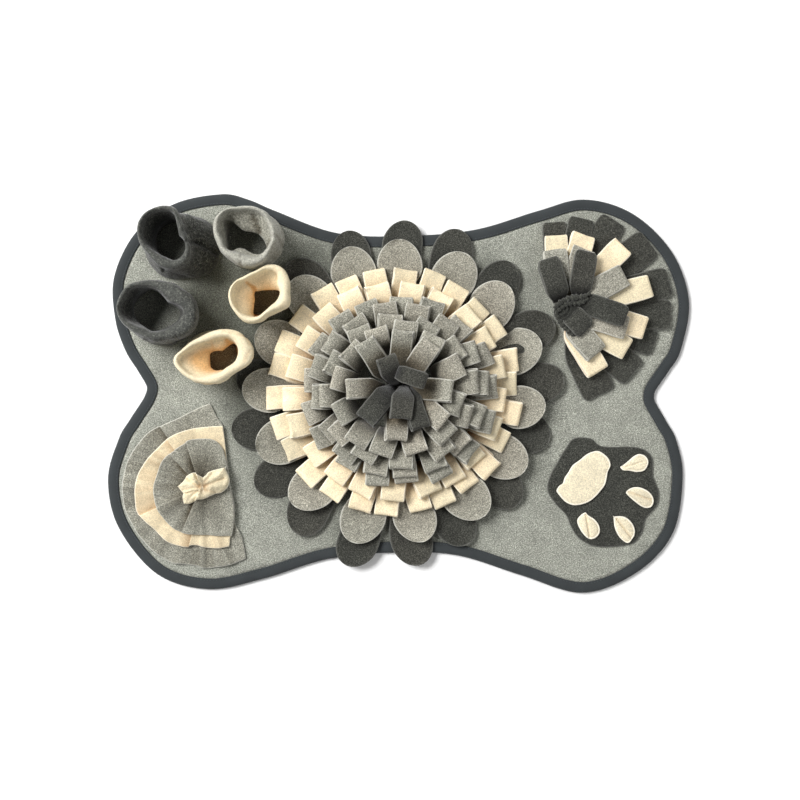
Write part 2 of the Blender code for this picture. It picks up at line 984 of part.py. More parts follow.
def make_skirt_layer(order, name):
    """A half-round sheet gathered at the bow, with its folds running out to its edge."""
    layer = SKIRT_LAYERS[name]
    body = Body()
    sheets = []
    for lift in (0.0, SKIRT_CLOTH):
        middle = PAD_THICK + skirt_height(order, 0.0, 0.0) + lift
        rings = [body.ring([Vector((SKIRT.x, SKIRT.y, middle))])]
        for share in SKIRT_RINGS:
            points = []
            for i in range(SKIRT_SIDES):
                degrees = 360 * i / SKIRT_SIDES
                radius = share * round_table(layer["edge"], degrees)
                z = PAD_THICK + skirt_height(order, degrees, radius) + lift
                points.append(polar(SKIRT, radius, math.radians(degrees), z))
            rings.append(body.ring(points))
        body.chain(rings)
        sheets.append(rings[-1])
    body.bridge(*sheets)
    return body.make(name, layer["cloth"])


def make_bow():
    """A short cream band pinched twice where it is sewn down on the skirt."""
    turn = math.radians(BOW_TURN)
    along = Vector((math.cos(turn), math.sin(turn), 0.0))
    across = Vector((-math.sin(turn), math.cos(turn), 0.0))
    last = len(SKIRT_LAYERS) - 1
    lowest = PAD_THICK + SKIRT_CLOTH + BOW_AIR
    body = Body()
    rings = []
    for place, breadth, high in BOW_SECTIONS:
        middle = SKIRT + along * place
        under = [
            middle + along * shift + across * (breadth * side / 8) - SKIRT
            for shift in (-BOW_REST, 0.0, BOW_REST)
            for side in range(-4, 5)
        ]
        turns = [math.degrees(math.atan2(spot.y, spot.x)) for spot in under]
        floor = max(skirt_height(last, turn, spot.length) for turn, spot in zip(turns, under))
        section = []
        for side, up in BOW_PROFILE:
            spot = middle + across * (breadth * side)
            section.append(Vector((spot.x, spot.y, lowest + floor + high * up)))
        rings.append(body.ring(section))
    body.cap(rings[0])
    body.chain(rings)
    body.cap(rings[-1])
    return body.make("skirt_bow", "cream")


def flat_piece(name, cloth, outline, bottom, crown):
    """A flat cut of cloth, a little higher in its middle than at its rim."""
    body = Body()
    middle = sum(outline, Vector()) / len(outline)
    inner = [p + (middle - p).normalized() * PAW_RIM for p in outline]
    rings = [
        body.ring(at_height(outline, bottom)),
        body.ring(at_height(outline, bottom + PAW_CLOTH * PAW_RIM_HIGH)),
        body.ring(at_height(inner, bottom + PAW_CLOTH)),
        body.ring([Vector((middle.x, middle.y, bottom + PAW_CLOTH + crown))]),
    ]
    body.cap(rings[0])
    body.chain(rings)
    return body.make(name, cloth)


def toe_outline(tip, end, wide):
    """A leaf with one pointed and one round end."""
    tip, end = Vector((*tip, 0.0)), Vector((*end, 0.0))
    along = (end - tip).normalized()
    across = Vector((-along.y, along.x, 0.0))
    length = (end - tip).length
    left = [tip + along * (length * a) + across * (wide / 2 * w) for a, w in TOE_SIDES]
    right = [tip + along * (length * a) - across * (wide / 2 * w) for a, w in TOE_SIDES[:0:-1]]
    return left + [end] + right


def make_paw():
    bottom = PAD_THICK + GAP
    patch = even_points(smooth_line(PAW_PATCH, closed=True), PATCH_STEP, closed=True)
    flat_piece("paw_patch", "dark", patch, bottom, 0.0)
    upper = bottom + PAW_CLOTH + GAP
    pad = even_points(smooth_line(PAW_PAD, closed=True), PAD_STEP, closed=True)
    flat_piece("paw_pad", "cream", pad, upper, PAW_CROWN)
    for i, (tip, end, wide) in enumerate(PAW_TOES):
        flat_piece(f"paw_toe_{i + 1}", "cream", toe_outline(tip, end, wide), upper, PAW_CROWN)


def main():
    clear_scene()
    make_pad()
    make_binding()
    dark_bottom = PAD_THICK + GAP
    make_petals("flower_petals_dark", "dark", DARK_PETAL, DARK_PETALS, dark_bottom)
    grey_bottom = dark_bottom + PETAL_THICK + LOOSE_GAP
    make_petals("flower_petals_grey", "grey", GREY_PETAL, GREY_PETALS, grey_bottom)
    for i, row in enumerate(TIERS):
        make_tier(row, TIER_SEED + i)
    make_centre()
    for name, cup in CUPS.items():
        make_cup(name, cup)
    for name, layer in FAN_LAYERS.items():
        make_fan_layer(name, layer)
    for order, name in enumerate(SKIRT_LAYERS):
        make_skirt_layer(order, name)
    make_bow()
    make_paw()


main()
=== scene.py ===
"""The looks of a snuffle mat, laid out as a Blender add-on and run as a script.

Every piece of cloth is cut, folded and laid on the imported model: a bone-shaped pad
with a bound edge, a flower of petals and folded strips, five soft cups, a fan of
strips, a layered skirt under a bow, and a paw of flat patches.

Tables are in millimetres on the mat, +X along it and +Y across it.
"""

import functools
import math
import random

import bmesh
import bpy
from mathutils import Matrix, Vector, noise
from mathutils.geometry import delaunay_2d_cdt


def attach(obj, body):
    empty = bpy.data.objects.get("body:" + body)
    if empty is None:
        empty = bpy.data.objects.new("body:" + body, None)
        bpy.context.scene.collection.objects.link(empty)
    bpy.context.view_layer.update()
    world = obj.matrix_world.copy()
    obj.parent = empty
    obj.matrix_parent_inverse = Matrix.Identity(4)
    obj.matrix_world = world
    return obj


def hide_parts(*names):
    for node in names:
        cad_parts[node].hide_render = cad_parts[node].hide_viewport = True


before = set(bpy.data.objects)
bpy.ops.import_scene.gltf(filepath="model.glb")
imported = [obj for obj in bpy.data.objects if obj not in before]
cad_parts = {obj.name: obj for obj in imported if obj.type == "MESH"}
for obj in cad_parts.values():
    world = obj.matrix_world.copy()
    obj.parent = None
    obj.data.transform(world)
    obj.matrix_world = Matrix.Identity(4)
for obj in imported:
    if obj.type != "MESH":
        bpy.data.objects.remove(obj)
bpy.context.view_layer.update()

bl_info = {
    "name": "Snuffle mat",
    "version": (1, 0, 0),
    "blender": (4, 5, 0),
    "location": "3D View > Sidebar > Snuffle mat",
    "description": "Cuts, folds and lays the cloth of a bone-shaped snuffle mat",
    "category": "Add Mesh",
}

MM = 0.001
PAD_TOP = 5.0
REST = 0.3  # air between the pad and what lies on it
ON_PAD = PAD_TOP + REST
EDGE_ROUND = 0.9  # how far in from its edge a cloth is rounded
WHITE = (1.0, 1.0, 1.0, 1.0)

# ---- tables of the mat ----------------------------------------------------------

OUTLINE_TOP = (
    # x, y, from the left notch over the top to the right notch
    (-282, 2), (-282, 9), (-292, 26), (-306, 49), (-317, 84), (-318, 131), (-294, 180),
    (-251, 212), (-198, 223), (-168, 217), (-137, 204), (-71, 180), (0, 176), (84, 183),
    (155, 204), (208, 217), (262, 201), (306, 158), (325, 103), (316, 49), (303, 26), (288, 4),
    (286, -3),
)
OUTLINE_BOTTOM = (
    # x, y, and back below
    (286, -3), (287, -9), (299, -30), (311, -53), (318, -94), (307, -156), (267, -200),
    (206, -223), (136, -203), (65, -181), (-5, -178), (-78, -185), (-150, -207), (-212, -219),
    (-270, -202), (-313, -150), (-325, -96), (-313, -51), (-301, -30), (-286, -7), (-282, 2),
)
FLOWER = Vector((-3.0, 3.0, 0.0))
PETAL_RING = 111.0  # distance of the petals' seam from the flower's middle
PETAL_HIDDEN = 6.0  # length of a petal's root under the strips
PETAL_TIP = 0.60  # length of a petal's round tip, as a share of its width
PETAL_ACROSS = (-1, -0.94, -0.72, -0.48, -0.24, 0, 0.24, 0.48, 0.72, 0.94, 1)
DARK_PETALS = (
    # angle in degrees, reach from the flower's middle
    (2, 188), (25, 192), (46, 193), (67, 193), (88, 190), (109, 186), (128, 186), (150, 146),
    (176, 178), (196, 188), (216, 190), (233, 194), (257, 202), (275, 196), (293, 189),
    (318, 186), (343, 180),
)
GREY_PETALS = (
    (18, 170), (41, 171), (63, 171), (88, 168), (110, 168), (133, 168), (158, 168), (180, 170),
    (204, 168), (230, 170), (256, 175), (278, 170), (303, 170), (328, 168), (352, 167),
)
TIERS = (
    # name, count, root radius, reach, height of the ends, cloth, first angle, how much
    # further it reaches at the right
    ("flower_loops_cream_outer", 26, 93.5, 140.5, 16.5, "cream", 3.0, -2.5),
    ("flower_loops_cream_inner", 21, 84.0, 122.0, 24.5, "cream", 13.0, 0.0),
    ("flower_loops_grey_1", 17, 74.5, 105.0, 32.0, "grey", 2.0, 3.5),
    ("flower_loops_grey_2", 16, 65.0, 95.5, 39.0, "grey", 7.0, 3.5),
    ("flower_loops_grey_3", 12, 55.5, 84.0, 45.5, "grey", 6.0, 3.0),
    ("flower_loops_grey_4", 12, 46.0, 73.0, 52.0, "grey", 20.0, 3.0),
)
TIER_SEED = 15
TIER_SHAPES = 10  # strips cut for one round, which repeat in it
FLOWER_OVAL = 0.02  # how much less the strips reach across the mat than along it

# ---- settings -------------------------------------------------------------------


def length(name, description, default):
    """A size in metres that a user may change."""
    return bpy.props.FloatProperty(
        name=name, description=description, default=default, unit="LENGTH", precision=4
    )


def share(name, description, default):
    """A factor from 0 up that a user may change."""
    return bpy.props.FloatProperty(
        name=name, description=description, default=default, min=0.0, subtype="FACTOR"
    )


def colour(name, description, default):
    """A colour that a user may change."""
    return bpy.props.FloatVectorProperty(
        name=name, description=description, default=default, subtype="COLOR", min=0.0, max=1.0
    )


class SNUFFLE_PG_cloth(bpy.types.PropertyGroup):
    """Colours and thickness of the cloths."""

    pad: colour("Pad", "Colour of the fleece that the pad is faced with", (0.318, 0.318, 0.275))
    grey: colour("Grey", "Colour of the grey fleece", (0.300, 0.288, 0.241))
    dark: colour("Dark", "Colour of the charcoal fleece", (0.0455, 0.0455, 0.0385))
    cream: colour("Cream", "Colour of the cream fleece", (0.83, 0.715, 0.50))
    binding: colour("Binding", "Colour of the tape round the edge", (0.038, 0.043, 0.045))
    thick: length("Fleece thickness", "Thickness of one layer of fleece", 0.0019)


class SNUFFLE_PG_flower(bpy.types.PropertyGroup):
    """Sizes of the flower's petals and folded strips."""

    strip_wide: length("Strip width", "Width that the folded strips are cut to", 0.0265)
    petal_wide: length("Petal width", "Width of a grey petal at its widest", 0.051)
    dark_petal_wide: length("Dark petal width", "Width of a charcoal petal at its widest", 0.048)
    wave: length("Cloth waves", "How far the strips and petals wave out of true", 0.0016)
    wave_size: length("Wave size", "Distance from one wave to the next", 0.030)


class SNUFFLE_PG_stage(bpy.types.PropertyGroup):
    """Camera, floor and light."""

    camera_high: length("Camera height", "Height of the camera over the mat", 1.30)
    lens: bpy.props.FloatProperty(
        name="Lens", description="Focal length of the camera in millimetres", default=52.2
    )
    floor: colour("Floor", "Colour of the floor", (0.95, 0.95, 0.945))
    key: bpy.props.FloatProperty(
        name="Soft box", description="Power of the large soft box in watts", default=190.0
    )
    fill: bpy.props.FloatProperty(
        name="Fill", description="Power of the soft box at the right in watts", default=7.0
    )
    around: share("Light from the sides", "Strength of the even light near the floor", 0.58)
    above: share("Light from above", "Strength of the even light overhead", 0.12)


# ---- materials ------------------------------------------------------------------


class Wiring:
    """Adds nodes to a tree and joins them."""

    def __init__(self, tree):
        self.tree = tree

    def link(self, out, into):
        """Join an output to an input."""
        self.tree.links.new(out, into)

    def node(self, kind, inputs=None, **settings):
        """A new node, with its settings made and its inputs joined or filled in."""
        made = self.tree.nodes.new(kind)
        for key, value in settings.items():
            setattr(made, key, value)
        for key, value in (inputs or {}).items():
            if isinstance(value, bpy.types.NodeSocket):
                self.link(value, made.inputs[key])
            else:
                made.inputs[key].default_value = value
        return made

    def first(self, kind, inputs=None, **settings):
        """A new node's first output."""
        return self.node(kind, inputs, **settings).outputs[0]

    def math(self, operation, a, b=0.0, c=0.0, clamp=False):
        """What comes of a sum with up to three values."""
        inputs = {0: a, 1: b, 2: c}
        return self.first("ShaderNodeMath", inputs, operation=operation, use_clamp=clamp)

    def vector(self, operation, a, b):
        """What comes of a sum with two vectors, or with a vector and its scale."""
        second = "Scale" if operation == "SCALE" else 1
        return self.first("ShaderNodeVectorMath", {0: a, second: b}, operation=operation)

    def mix(self, factor, a, b):
        """A colour between two colours."""
        inputs = {"Factor": factor, "A": a, "B": b}
        return self.node("ShaderNodeMix", inputs, data_type="RGBA").outputs["Result"]

    def noise(self, place, scale, detail, roughness=0.5, distortion=0.0):
        """A soft random value from 0 to 1."""
        inputs = {"Vector": place, "Scale": scale, "Detail": detail}
        inputs |= {"Roughness": roughness, "Distortion": distortion}
        return self.first("ShaderNodeTexNoise", inputs)


def new_group(name, kind, takes, gives):
    """An empty node group with rows of (name, type, default) for sockets, ready to wire."""
    tree = bpy.data.node_groups.new(name, kind)
    for way, rows in (("INPUT", takes), ("OUTPUT", gives)):
        for label, sort, *default in rows:
            made = tree.interface.new_socket(
                name=label, in_out=way, socket_type="NodeSocket" + sort
            )
            if default:
                made.default_value = default[0]
    w = Wiring(tree)
    return w, w.node("NodeGroupInput").outputs, w.node("NodeGroupOutput").inputs


def pile_and_painted_light_group():
    """Brushed pile: mottled colour, broad patches of painted sheen, a paler cut edge that is
    partly a painted highlight, painted shade in deep places, and the bumps of the fibres.
    """
    if found := bpy.data.node_groups.get("brushed_pile"):
        return found
    takes = (
        ("Place", "Vector"),
        ("Colour", "Color", (0.5, 0.5, 0.5, 1.0)),
        ("Cut colour", "Color", (0.7, 0.7, 0.7, 1.0)),
        ("Cut", "Float"),
        ("Deep colour", "Color", (0.3, 0.27, 0.22, 1.0)),
        ("Deep", "Float"), ("Tone", "Float", 0.5), ("Mottle", "Float", 0.2),
        ("Pile size", "Float", 0.0016),
    )
    gives = (("Colour", "Color"), ("Roughness", "Float"), ("Height", "Float"))
    w, given, out = new_group("brushed_pile", "ShaderNodeTree", takes, gives)
    place = given["Place"]
    fine = w.math("DIVIDE", 1.0, given["Pile size"])
    clumps = w.noise(place, fine, 4.0, 0.75)
    fibres = w.noise(place, w.math("MULTIPLY", fine, 3.1), 2.0, 0.6)
    brushed = w.noise(place, 45.0, 4.0, 0.6, 0.8)
    grain = w.math("MULTIPLY_ADD", fibres, 0.4, w.math("MULTIPLY", clumps, 0.6))
    swing = w.math("MULTIPLY", w.math("SUBTRACT", grain, 0.5), given["Mottle"])
    swing = w.math("EXPONENT", w.math("MULTIPLY_ADD", swing, 16.0, -0.03))
    # painted sheen: broad lighter and darker patches of the brushed pile
    patch = w.math("MULTIPLY_ADD", w.math("SUBTRACT", brushed, 0.5), 0.75, 1.0)
    tone = w.math("MULTIPLY_ADD", w.math("SUBTRACT", given["Tone"], 0.5), 0.16, 1.0)
    value = w.math("MULTIPLY", w.math("MULTIPLY", swing, patch), tone)
    # painted shade: deep places are mixed towards the painted shade colour
    painted_shade = w.mix(given["Deep"], WHITE, given["Deep colour"])
    warmth = w.mix(given["Tone"], (0.985, 1.005, 1.0, 1.0), (1.02, 0.995, 0.975, 1.0))
    dyed = w.vector("MULTIPLY", w.vector("MULTIPLY", given["Colour"], warmth), painted_shade)
    # the cut edge is paler, partly its own colour and partly a painted highlight
    cut = w.math("MULTIPLY", given["Cut"], w.math("MULTIPLY_ADD", clumps, 0.8, 0.45), clamp=True)
    w.link(w.mix(cut, w.vector("SCALE", dyed, value), given["Cut colour"]), out["Colour"])
    w.link(w.math("MULTIPLY_ADD", clumps, 0.14, 0.84), out["Roughness"])
    w.link(grain, out["Height"])
    return w.tree


def new_material(name):
    """A new material, its wiring, and the place on the piece that its patterns read."""
    made = bpy.data.materials.new(name)
    made.use_nodes = True
    w = Wiring(made.node_tree)
    return made, w, w.node("ShaderNodeTexCoord").outputs["Object"]


def finish_cloth(w, colour, rough, height, bump, distance, sheen):
    """The Principled shader that ends a cloth, with its bumps."""
    shader = w.tree.nodes["Principled BSDF"].inputs
    w.link(colour, shader["Base Color"])
    w.link(rough, shader["Roughness"])
    shader["Specular IOR Level"].default_value = 0.18
    shader["Sheen Weight"].default_value = sheen
    shader["Sheen Roughness"].default_value = 0.45
    raised = w.node("ShaderNodeBump", {"Strength": bump, "Distance": distance, "Height": height})
    w.link(raised.outputs["Normal"], shader["Normal"])


PILE_BUMP = 0.0012  # metres
CLOTHS = {
    # dye, colour of the cut edges (partly a painted highlight), colour of the painted shade
    # in deep places, mottle, size of the pile in metres, bump, sheen; the cups' cloths have a
    # longer nap
    "pad": ("pad", (0.318, 0.318, 0.275), (0.42, 0.43, 0.41), 0.52, 0.0013, 0.7, 0.25),
    "grey": ("grey", (0.64, 0.63, 0.56), (0.30, 0.26, 0.21), 0.52, 0.0013, 0.7, 0.25),
    "dark": ("dark", (0.14, 0.14, 0.125), (0.20, 0.20, 0.20), 0.66, 0.0013, 0.7, 0.30),
    "cream": ("cream", (0.97, 0.91, 0.76), (0.55, 0.36, 0.23), 0.16, 0.0013, 0.6, 0.10),
    "cream_short": ("cream", (0.97, 0.92, 0.80), (0.66, 0.50, 0.36), 0.22, 0.0014, 0.7, 0.10),
    "grey_nap": ("grey", (0.64, 0.63, 0.56), (0.30, 0.27, 0.23), 0.42, 0.0020, 0.6, 0.25),
    "dark_nap": ("dark", (0.15, 0.155, 0.145), (0.20, 0.21, 0.23), 0.85, 0.0024, 0.8, 0.30),
    "cream_nap": ("cream", (0.83, 0.715, 0.50), (0.82, 0.56, 0.35), 0.12, 0.0018, 0.5, 0.10),
}


def cloth_of(name):
    """Brushed fleece, with marks for pale cut edges (partly a painted highlight), for painted
    shade in deep places and for the tone of each strip.
    """
    if found := bpy.data.materials.get(name + "_fleece"):
        return found
    dye, cut, deep, mottle, pile, bump, sheen = CLOTHS[name]
    made, w, place = new_material(name + "_fleece")
    dye = getattr(bpy.context.scene.snuffle_cloth, dye)
    values = {"Place": place, "Colour": (*dye, 1.0), "Mottle": mottle, "Pile size": pile}
    values |= {"Cut colour": (*cut, 1.0), "Deep colour": (*deep, 1.0)}
    # cut pales the edges, partly a painted highlight; deep darkens with painted shade
    for mark in ("cut", "deep", "tone"):
        seen = w.node("ShaderNodeAttribute", attribute_name=mark)
        values[mark.capitalize()] = seen.outputs["Fac"]
    out = w.node("ShaderNodeGroup", values, node_tree=pile_and_painted_light_group()).outputs
    finish_cloth(w, out["Colour"], out["Roughness"], out["Height"], bump, PILE_BUMP, sheen)
    return made


def tape_material():
    """Woven tape: fine ribs across its length."""
    rib, rib_across = 0.0011, 0.0009
    made, w, place = new_material("binding_tape")
    uv = w.node("ShaderNodeUVMap", uv_map="UVMap").outputs["UV"]
    parts = w.node("ShaderNodeSeparateXYZ", {"Vector": uv}).outputs
    ribs = w.math("SINE", w.math("MULTIPLY", parts["X"], 2 * math.pi / rib))
    over = w.math("SINE", w.math("MULTIPLY", parts["Y"], 2 * math.pi / rib_across))
    weave = w.math("MULTIPLY_ADD", w.math("MULTIPLY", ribs, over), 0.5, 0.5)
    worn = w.noise(place, 60.0, 4.0)
    value = w.math("MULTIPLY_ADD", weave, 0.25, w.math("MULTIPLY_ADD", worn, 0.5, 0.62))
    colour = w.vector("SCALE", tuple(bpy.context.scene.snuffle_cloth.binding), value)
    finish_cloth(w, colour, w.math("MULTIPLY_ADD", worn, 0.2, 0.68), weave, 0.4, 0.0003, 0.15)
    return made


def thread_material():
    """Dark sewing thread, with the fine grain of its twist."""
    made, w, place = new_material("dark_thread")
    twist = w.noise(place, 2500.0, 2.0)
    colour = w.vector("SCALE", (0.06, 0.07, 0.075), w.math("MULTIPLY_ADD", twist, 0.6, 0.7))
    finish_cloth(w, colour, w.math("MULTIPLY_ADD", twist, 0.2, 0.5), twist, 0.3, 0.0002, 0.1)
    return made


# ---- curves ---------------------------------------------------------------------


def spline_point(before, start, end, after, t):
    """A point between start and end on a smooth curve through four points."""
    slope_a = (end - before) / 2
    slope_b = (after - start) / 2
    return (
        start * (2 * t**3 - 3 * t**2 + 1)
        + slope_a * (t**3 - 2 * t**2 + t)
        + end * (3 * t**2 - 2 * t**3)
        + slope_b * (t**3 - t**2)
    )


def smooth_line(rows, closed, pieces=12):
    """Fine points of a smooth curve through the rows of a table."""
    knots = [Vector((*row, 0.0)[:3]) for row in rows]
    count = len(knots)
    spans = count if closed else count - 1
    points = []
    for i in range(spans):
        if closed:
            four = [knots[(i + k) % count] for k in (-1, 0, 1, 2)]
        else:
            four = [knots[min(max(i + k, 0), count - 1)] for k in (-1, 0, 1, 2)]
        points.extend(spline_point(*four, step / pieces) for step in range(pieces))
    if not closed:
        points.append(knots[-1])
    return points


def even_points(line, step, closed):
    """The line again, with points an even distance apart, its ends kept."""
    line = list(line) + ([line[0]] if closed else [])
    along = [0.0]
    for a, b in zip(line, line[1:]):
        along.append(along[-1] + (b - a).length)
    count = max(3, round(along[-1] / step))
    points, k = [], 0
    for i in range(count if closed else count + 1):
        wanted = along[-1] * i / count
        while k < len(line) - 2 and along[k + 1] < wanted:
            k += 1
        part = (wanted - along[k]) / max(along[k + 1] - along[k], 1e-9)
        points.append(line[k].lerp(line[k + 1], part))
    return points


def drawn(rows, step, closed=True):
    """Even points on the smooth curve through a table's rows."""
    return even_points(smooth_line(rows, closed), step, closed)


def mat_outline(step):
    """The bone outline, clockwise from its left notch, with a blunt notch at each end."""
    return drawn(OUTLINE_TOP, step, False)[:-1] + drawn(OUTLINE_BOTTOM, step, False)[:-1]


def inset(outline, distance):
    """A clockwise outline moved inwards, each corner along its own bisector."""
    moved = []
    count = len(outline)
    for i, point in enumerate(outline):
        ahead = (outline[(i + 1) % count] - point).normalized()
        behind = (point - outline[i - 1]).normalized()
        inward_a = Vector((behind.y, -behind.x, 0.0))
        inward_b = Vector((ahead.y, -ahead.x, 0.0))
        bisector = (inward_a + inward_b).normalized()
        moved.append(point + bisector * (distance / bisector.dot(inward_b)))
    return moved


def polar(centre, radius, angle, z=0.0):
    """The place at a distance and an angle from a middle, at this height."""
    return Vector((centre.x + radius * math.cos(angle), centre.y + radius * math.sin(angle), z))


def read_table(rows, at):
    """The value at a place between the rows of a two-column table."""
    for (x0, y0), (x1, y1) in zip(rows, rows[1:]):
        if at <= x1:
            return y0 + (y1 - y0) * (at - x0) / (x1 - x0)
    return rows[-1][1]


def round_value(values, degrees):
    """The smooth value at an angle among values spaced evenly all the way round."""
    count = len(values)
    after = next((i for i in range(count) if 360 * i / count > degrees), count)
    low, high = 360 * (after - 1) / count, 360 * after / count
    four = [values[(after + k) % count] for k in (-2, -1, 0, 1)]
    return spline_point(*four, (degrees - low) / (high - low))


def ease(part):
    """A smooth step from 0 to 1."""
    part = min(max(part, 0.0), 1.0)
    return part * part * (3 - 2 * part)


def across(outline):
    """The length and breadth, in metres, that a cut of this outline needs."""
    return tuple((max(p[k] for p in outline) - min(p[k] for p in outline)) * MM for k in (0, 1))


def wave_at(point, size, seed):
    """Smooth noise from -1 to 1 that changes over size millimetres."""
    return noise.noise(Vector((point[0] / size, point[1] / size, seed * 7.3 + point[2] / size)))


# ---- cloth ----------------------------------------------------------------------


def added(name, data):
    """A new object in the scene."""
    made = bpy.data.objects.new(name, data)
    bpy.context.scene.collection.objects.link(made)
    return made


class Cloth:
    """The points, faces, UVs and marks of one piece while it is cut and folded."""

    def __init__(self):
        self.points, self.uvs, self.faces = [], [], []
        # cut pales the edges, partly a painted highlight; deep darkens with painted shade
        self.marks = {"cut": [], "free": [], "deep": []}

    def ring(self, points, uvs=None, **marks):
        """Add points; a mark has one value for all of them or a list."""
        first, count = len(self.points), len(points)
        self.points.extend(Vector(p) for p in points)
        self.uvs.extend(uvs or [(p[0] * MM, p[1] * MM) for p in points])
        for mark, kept in self.marks.items():
            value = marks.get(mark, 0.0)
            kept.extend(value if isinstance(value, list) else [value] * count)
        return list(range(first, first + count))

    def chain(self, rings):
        """Join each ring to the next; a ring of one point is a tip."""
        for a, b in zip(rings, rings[1:]):
            count = max(len(a), len(b))
            a, b = (ring * count if len(ring) == 1 else ring for ring in (a, b))
            for i in range(count):
                j = (i + 1) % count
                self.faces.append(list(dict.fromkeys([a[i], a[j], b[j], b[i]])))

    def tube(self, rings):
        """Join the rings and close both ends."""
        self.chain(rings)
        self.faces.extend([rings[0], rings[-1]])

    def mesh(self, name, material):
        """The finished mesh, in metres, with its UV map and its marks."""
        mesh = bpy.data.meshes.new(name)
        mesh.from_pydata([p * MM for p in self.points], [], self.faces)
        shape = bmesh.new()
        shape.from_mesh(mesh)
        bmesh.ops.recalc_face_normals(shape, faces=shape.faces)
        shape.to_mesh(mesh)
        shape.free()
        layer = mesh.uv_layers.new(name="UVMap")
        corners = [0] * len(mesh.loops)
        mesh.loops.foreach_get("vertex_index", corners)
        layer.uv.foreach_set("vector", [x for i in corners for x in self.uvs[i]])
        for mark, values in self.marks.items():
            mesh.attributes.new(mark, "FLOAT", "POINT").data.foreach_set("value", values)
        mesh.shade_smooth()
        mesh.materials.append(material)
        return mesh

    def make(self, name, material):
        """A new object with the finished mesh."""
        return added(name, self.mesh(name, material))


def baked(made):
    """Turn an object's modifiers into a plain mesh and drop them."""
    bpy.context.view_layer.update()
    held = bpy.context.evaluated_depsgraph_get()
    mesh = bpy.data.meshes.new_from_object(
        made.evaluated_get(held), preserve_all_data_layers=True, depsgraph=held
    )
    made.modifiers.clear()
    made.data = mesh
    mesh.name = made.name


def placed(made, slot, *nodes):
    """Put a finished piece in the place of its CAD nodes."""
    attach(made, "root")
    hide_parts(*nodes)


def fleece_thick():
    """The thickness of one layer of fleece, in millimetres."""
    return bpy.context.scene.snuffle_cloth.thick / MM


def strip_wide():
    """The width that the folded strips are cut to, in millimetres."""
    return bpy.context.scene.snuffle_flower.strip_wide / MM


def strip_section(wide, thick, across):
    """Offsets of a strip's section, as (sideways, up, sideways share, cut); cut pales the edges,
    partly a painted highlight.
    """
    edge = min(EDGE_ROUND, thick / 2)
    flat = wide / 2 - edge
    inner = flat - 0.8
    top = [(inner * (2 * k / (across - 2) - 1), thick / 2, 0.0) for k in range(across - 1)]
    top = [(-flat, thick / 2, 0.55), *top, (flat, thick / 2, 0.55)]
    near, far = wide / 2 - 0.45 * edge, wide / 2 - 0.08 * edge
    side = [
        (near, thick * 0.40, 0.75), (far, thick * 0.2, 1.0), (far, -thick * 0.2, 1.0),
        (near, -thick * 0.40, 0.75),
    ]
    half = top + side
    section = half + [(-s, -u, c) for s, u, c in half]
    return [(s, u, 2 * s / wide, c) for s, u, c in section]


def ribbon(cloth, stations, thick, across=6, end_cut=0.0):
    """Sweep a strip of cloth through stations, and give its length.

    A station is (centre, unit sideways, unit up, width, crown, free, deep): crown is how
    far the strip's middle stands over its edges, free is how far it may wave, and deep
    is how much painted shade darkens it where it is sunk among the others.
    """
    rings, gone = [], 0.0
    for i, (centre, side, up, wide, crown, free, deep) in enumerate(stations):
        gone += (centre - stations[max(i - 1, 0)][0]).length
        points, uvs, cut = [], [], []
        # a cut end is pale, partly a painted highlight
        end_mark = end_cut if i == len(stations) - 1 else 0.0
        for s, u, part, mark in strip_section(wide, thick, across):
            lift = crown * (1 - part * part)
            points.append(centre + side * s + up * (u + lift))
            uvs.append((gone * MM, s * MM))
            cut.append(max(mark, end_mark))
        rings.append(cloth.ring(points, uvs, cut=cut, free=free, deep=deep))
    cloth.tube(rings)
    return gone


def crease_depth(creases, x, y):
    """How deep the creases are at a place."""
    deep = 0.0
    for x0, y0, x1, y1, depth, half in creases:
        run = Vector((x1 - x0, y1 - y0))
        gone = Vector((x - x0, y - y0))
        along = min(max(gone.dot(run) / run.length_squared, 0.0), 1.0)
        away = (gone - run * along).length
        deep += depth * math.exp(-((away / half) ** 2))
    return deep


def rounded_patch(cloth, outline, middle, top_of, low_of, marks_of, rings):
    """A closed piece between two surfaces, its grid running from a middle to its outline."""
    made = []
    for k in range(rings):
        part = 1 - (1 - (k + 1) / rings) ** 1.8
        spots = [middle.lerp(p, part) for p in outline]
        points = [Vector((spot.x, spot.y, top_of(spot, part))) for spot in spots]
        # marks_of gives a pale cut mark, partly a painted highlight, and painted shade
        cut, deep = map(list, zip(*(marks_of(spot, part) for spot in spots)))
        made.append(cloth.ring(points, cut=cut, deep=deep))
    peak = cloth.ring([Vector((middle.x, middle.y, top_of(middle, 0.0)))])
    cut = [marks_of(p, 1.0)[0] for p in outline]
    low = cloth.ring([Vector((p.x, p.y, low_of(p))) for p in outline], cut=cut)
    floor = cloth.ring([Vector((middle.x, middle.y, low_of(middle)))])
    cloth.chain([peak, *made, low, floor])


# ---- node trees that repeat a piece ------------------------------------------------


def dress(w, geometry, given, out):
    """End a tree that makes geometry by giving it its material."""
    values = {"Geometry": geometry, "Material": given["Material"]}
    w.link(w.first("GeometryNodeSetMaterial", values), out[0])


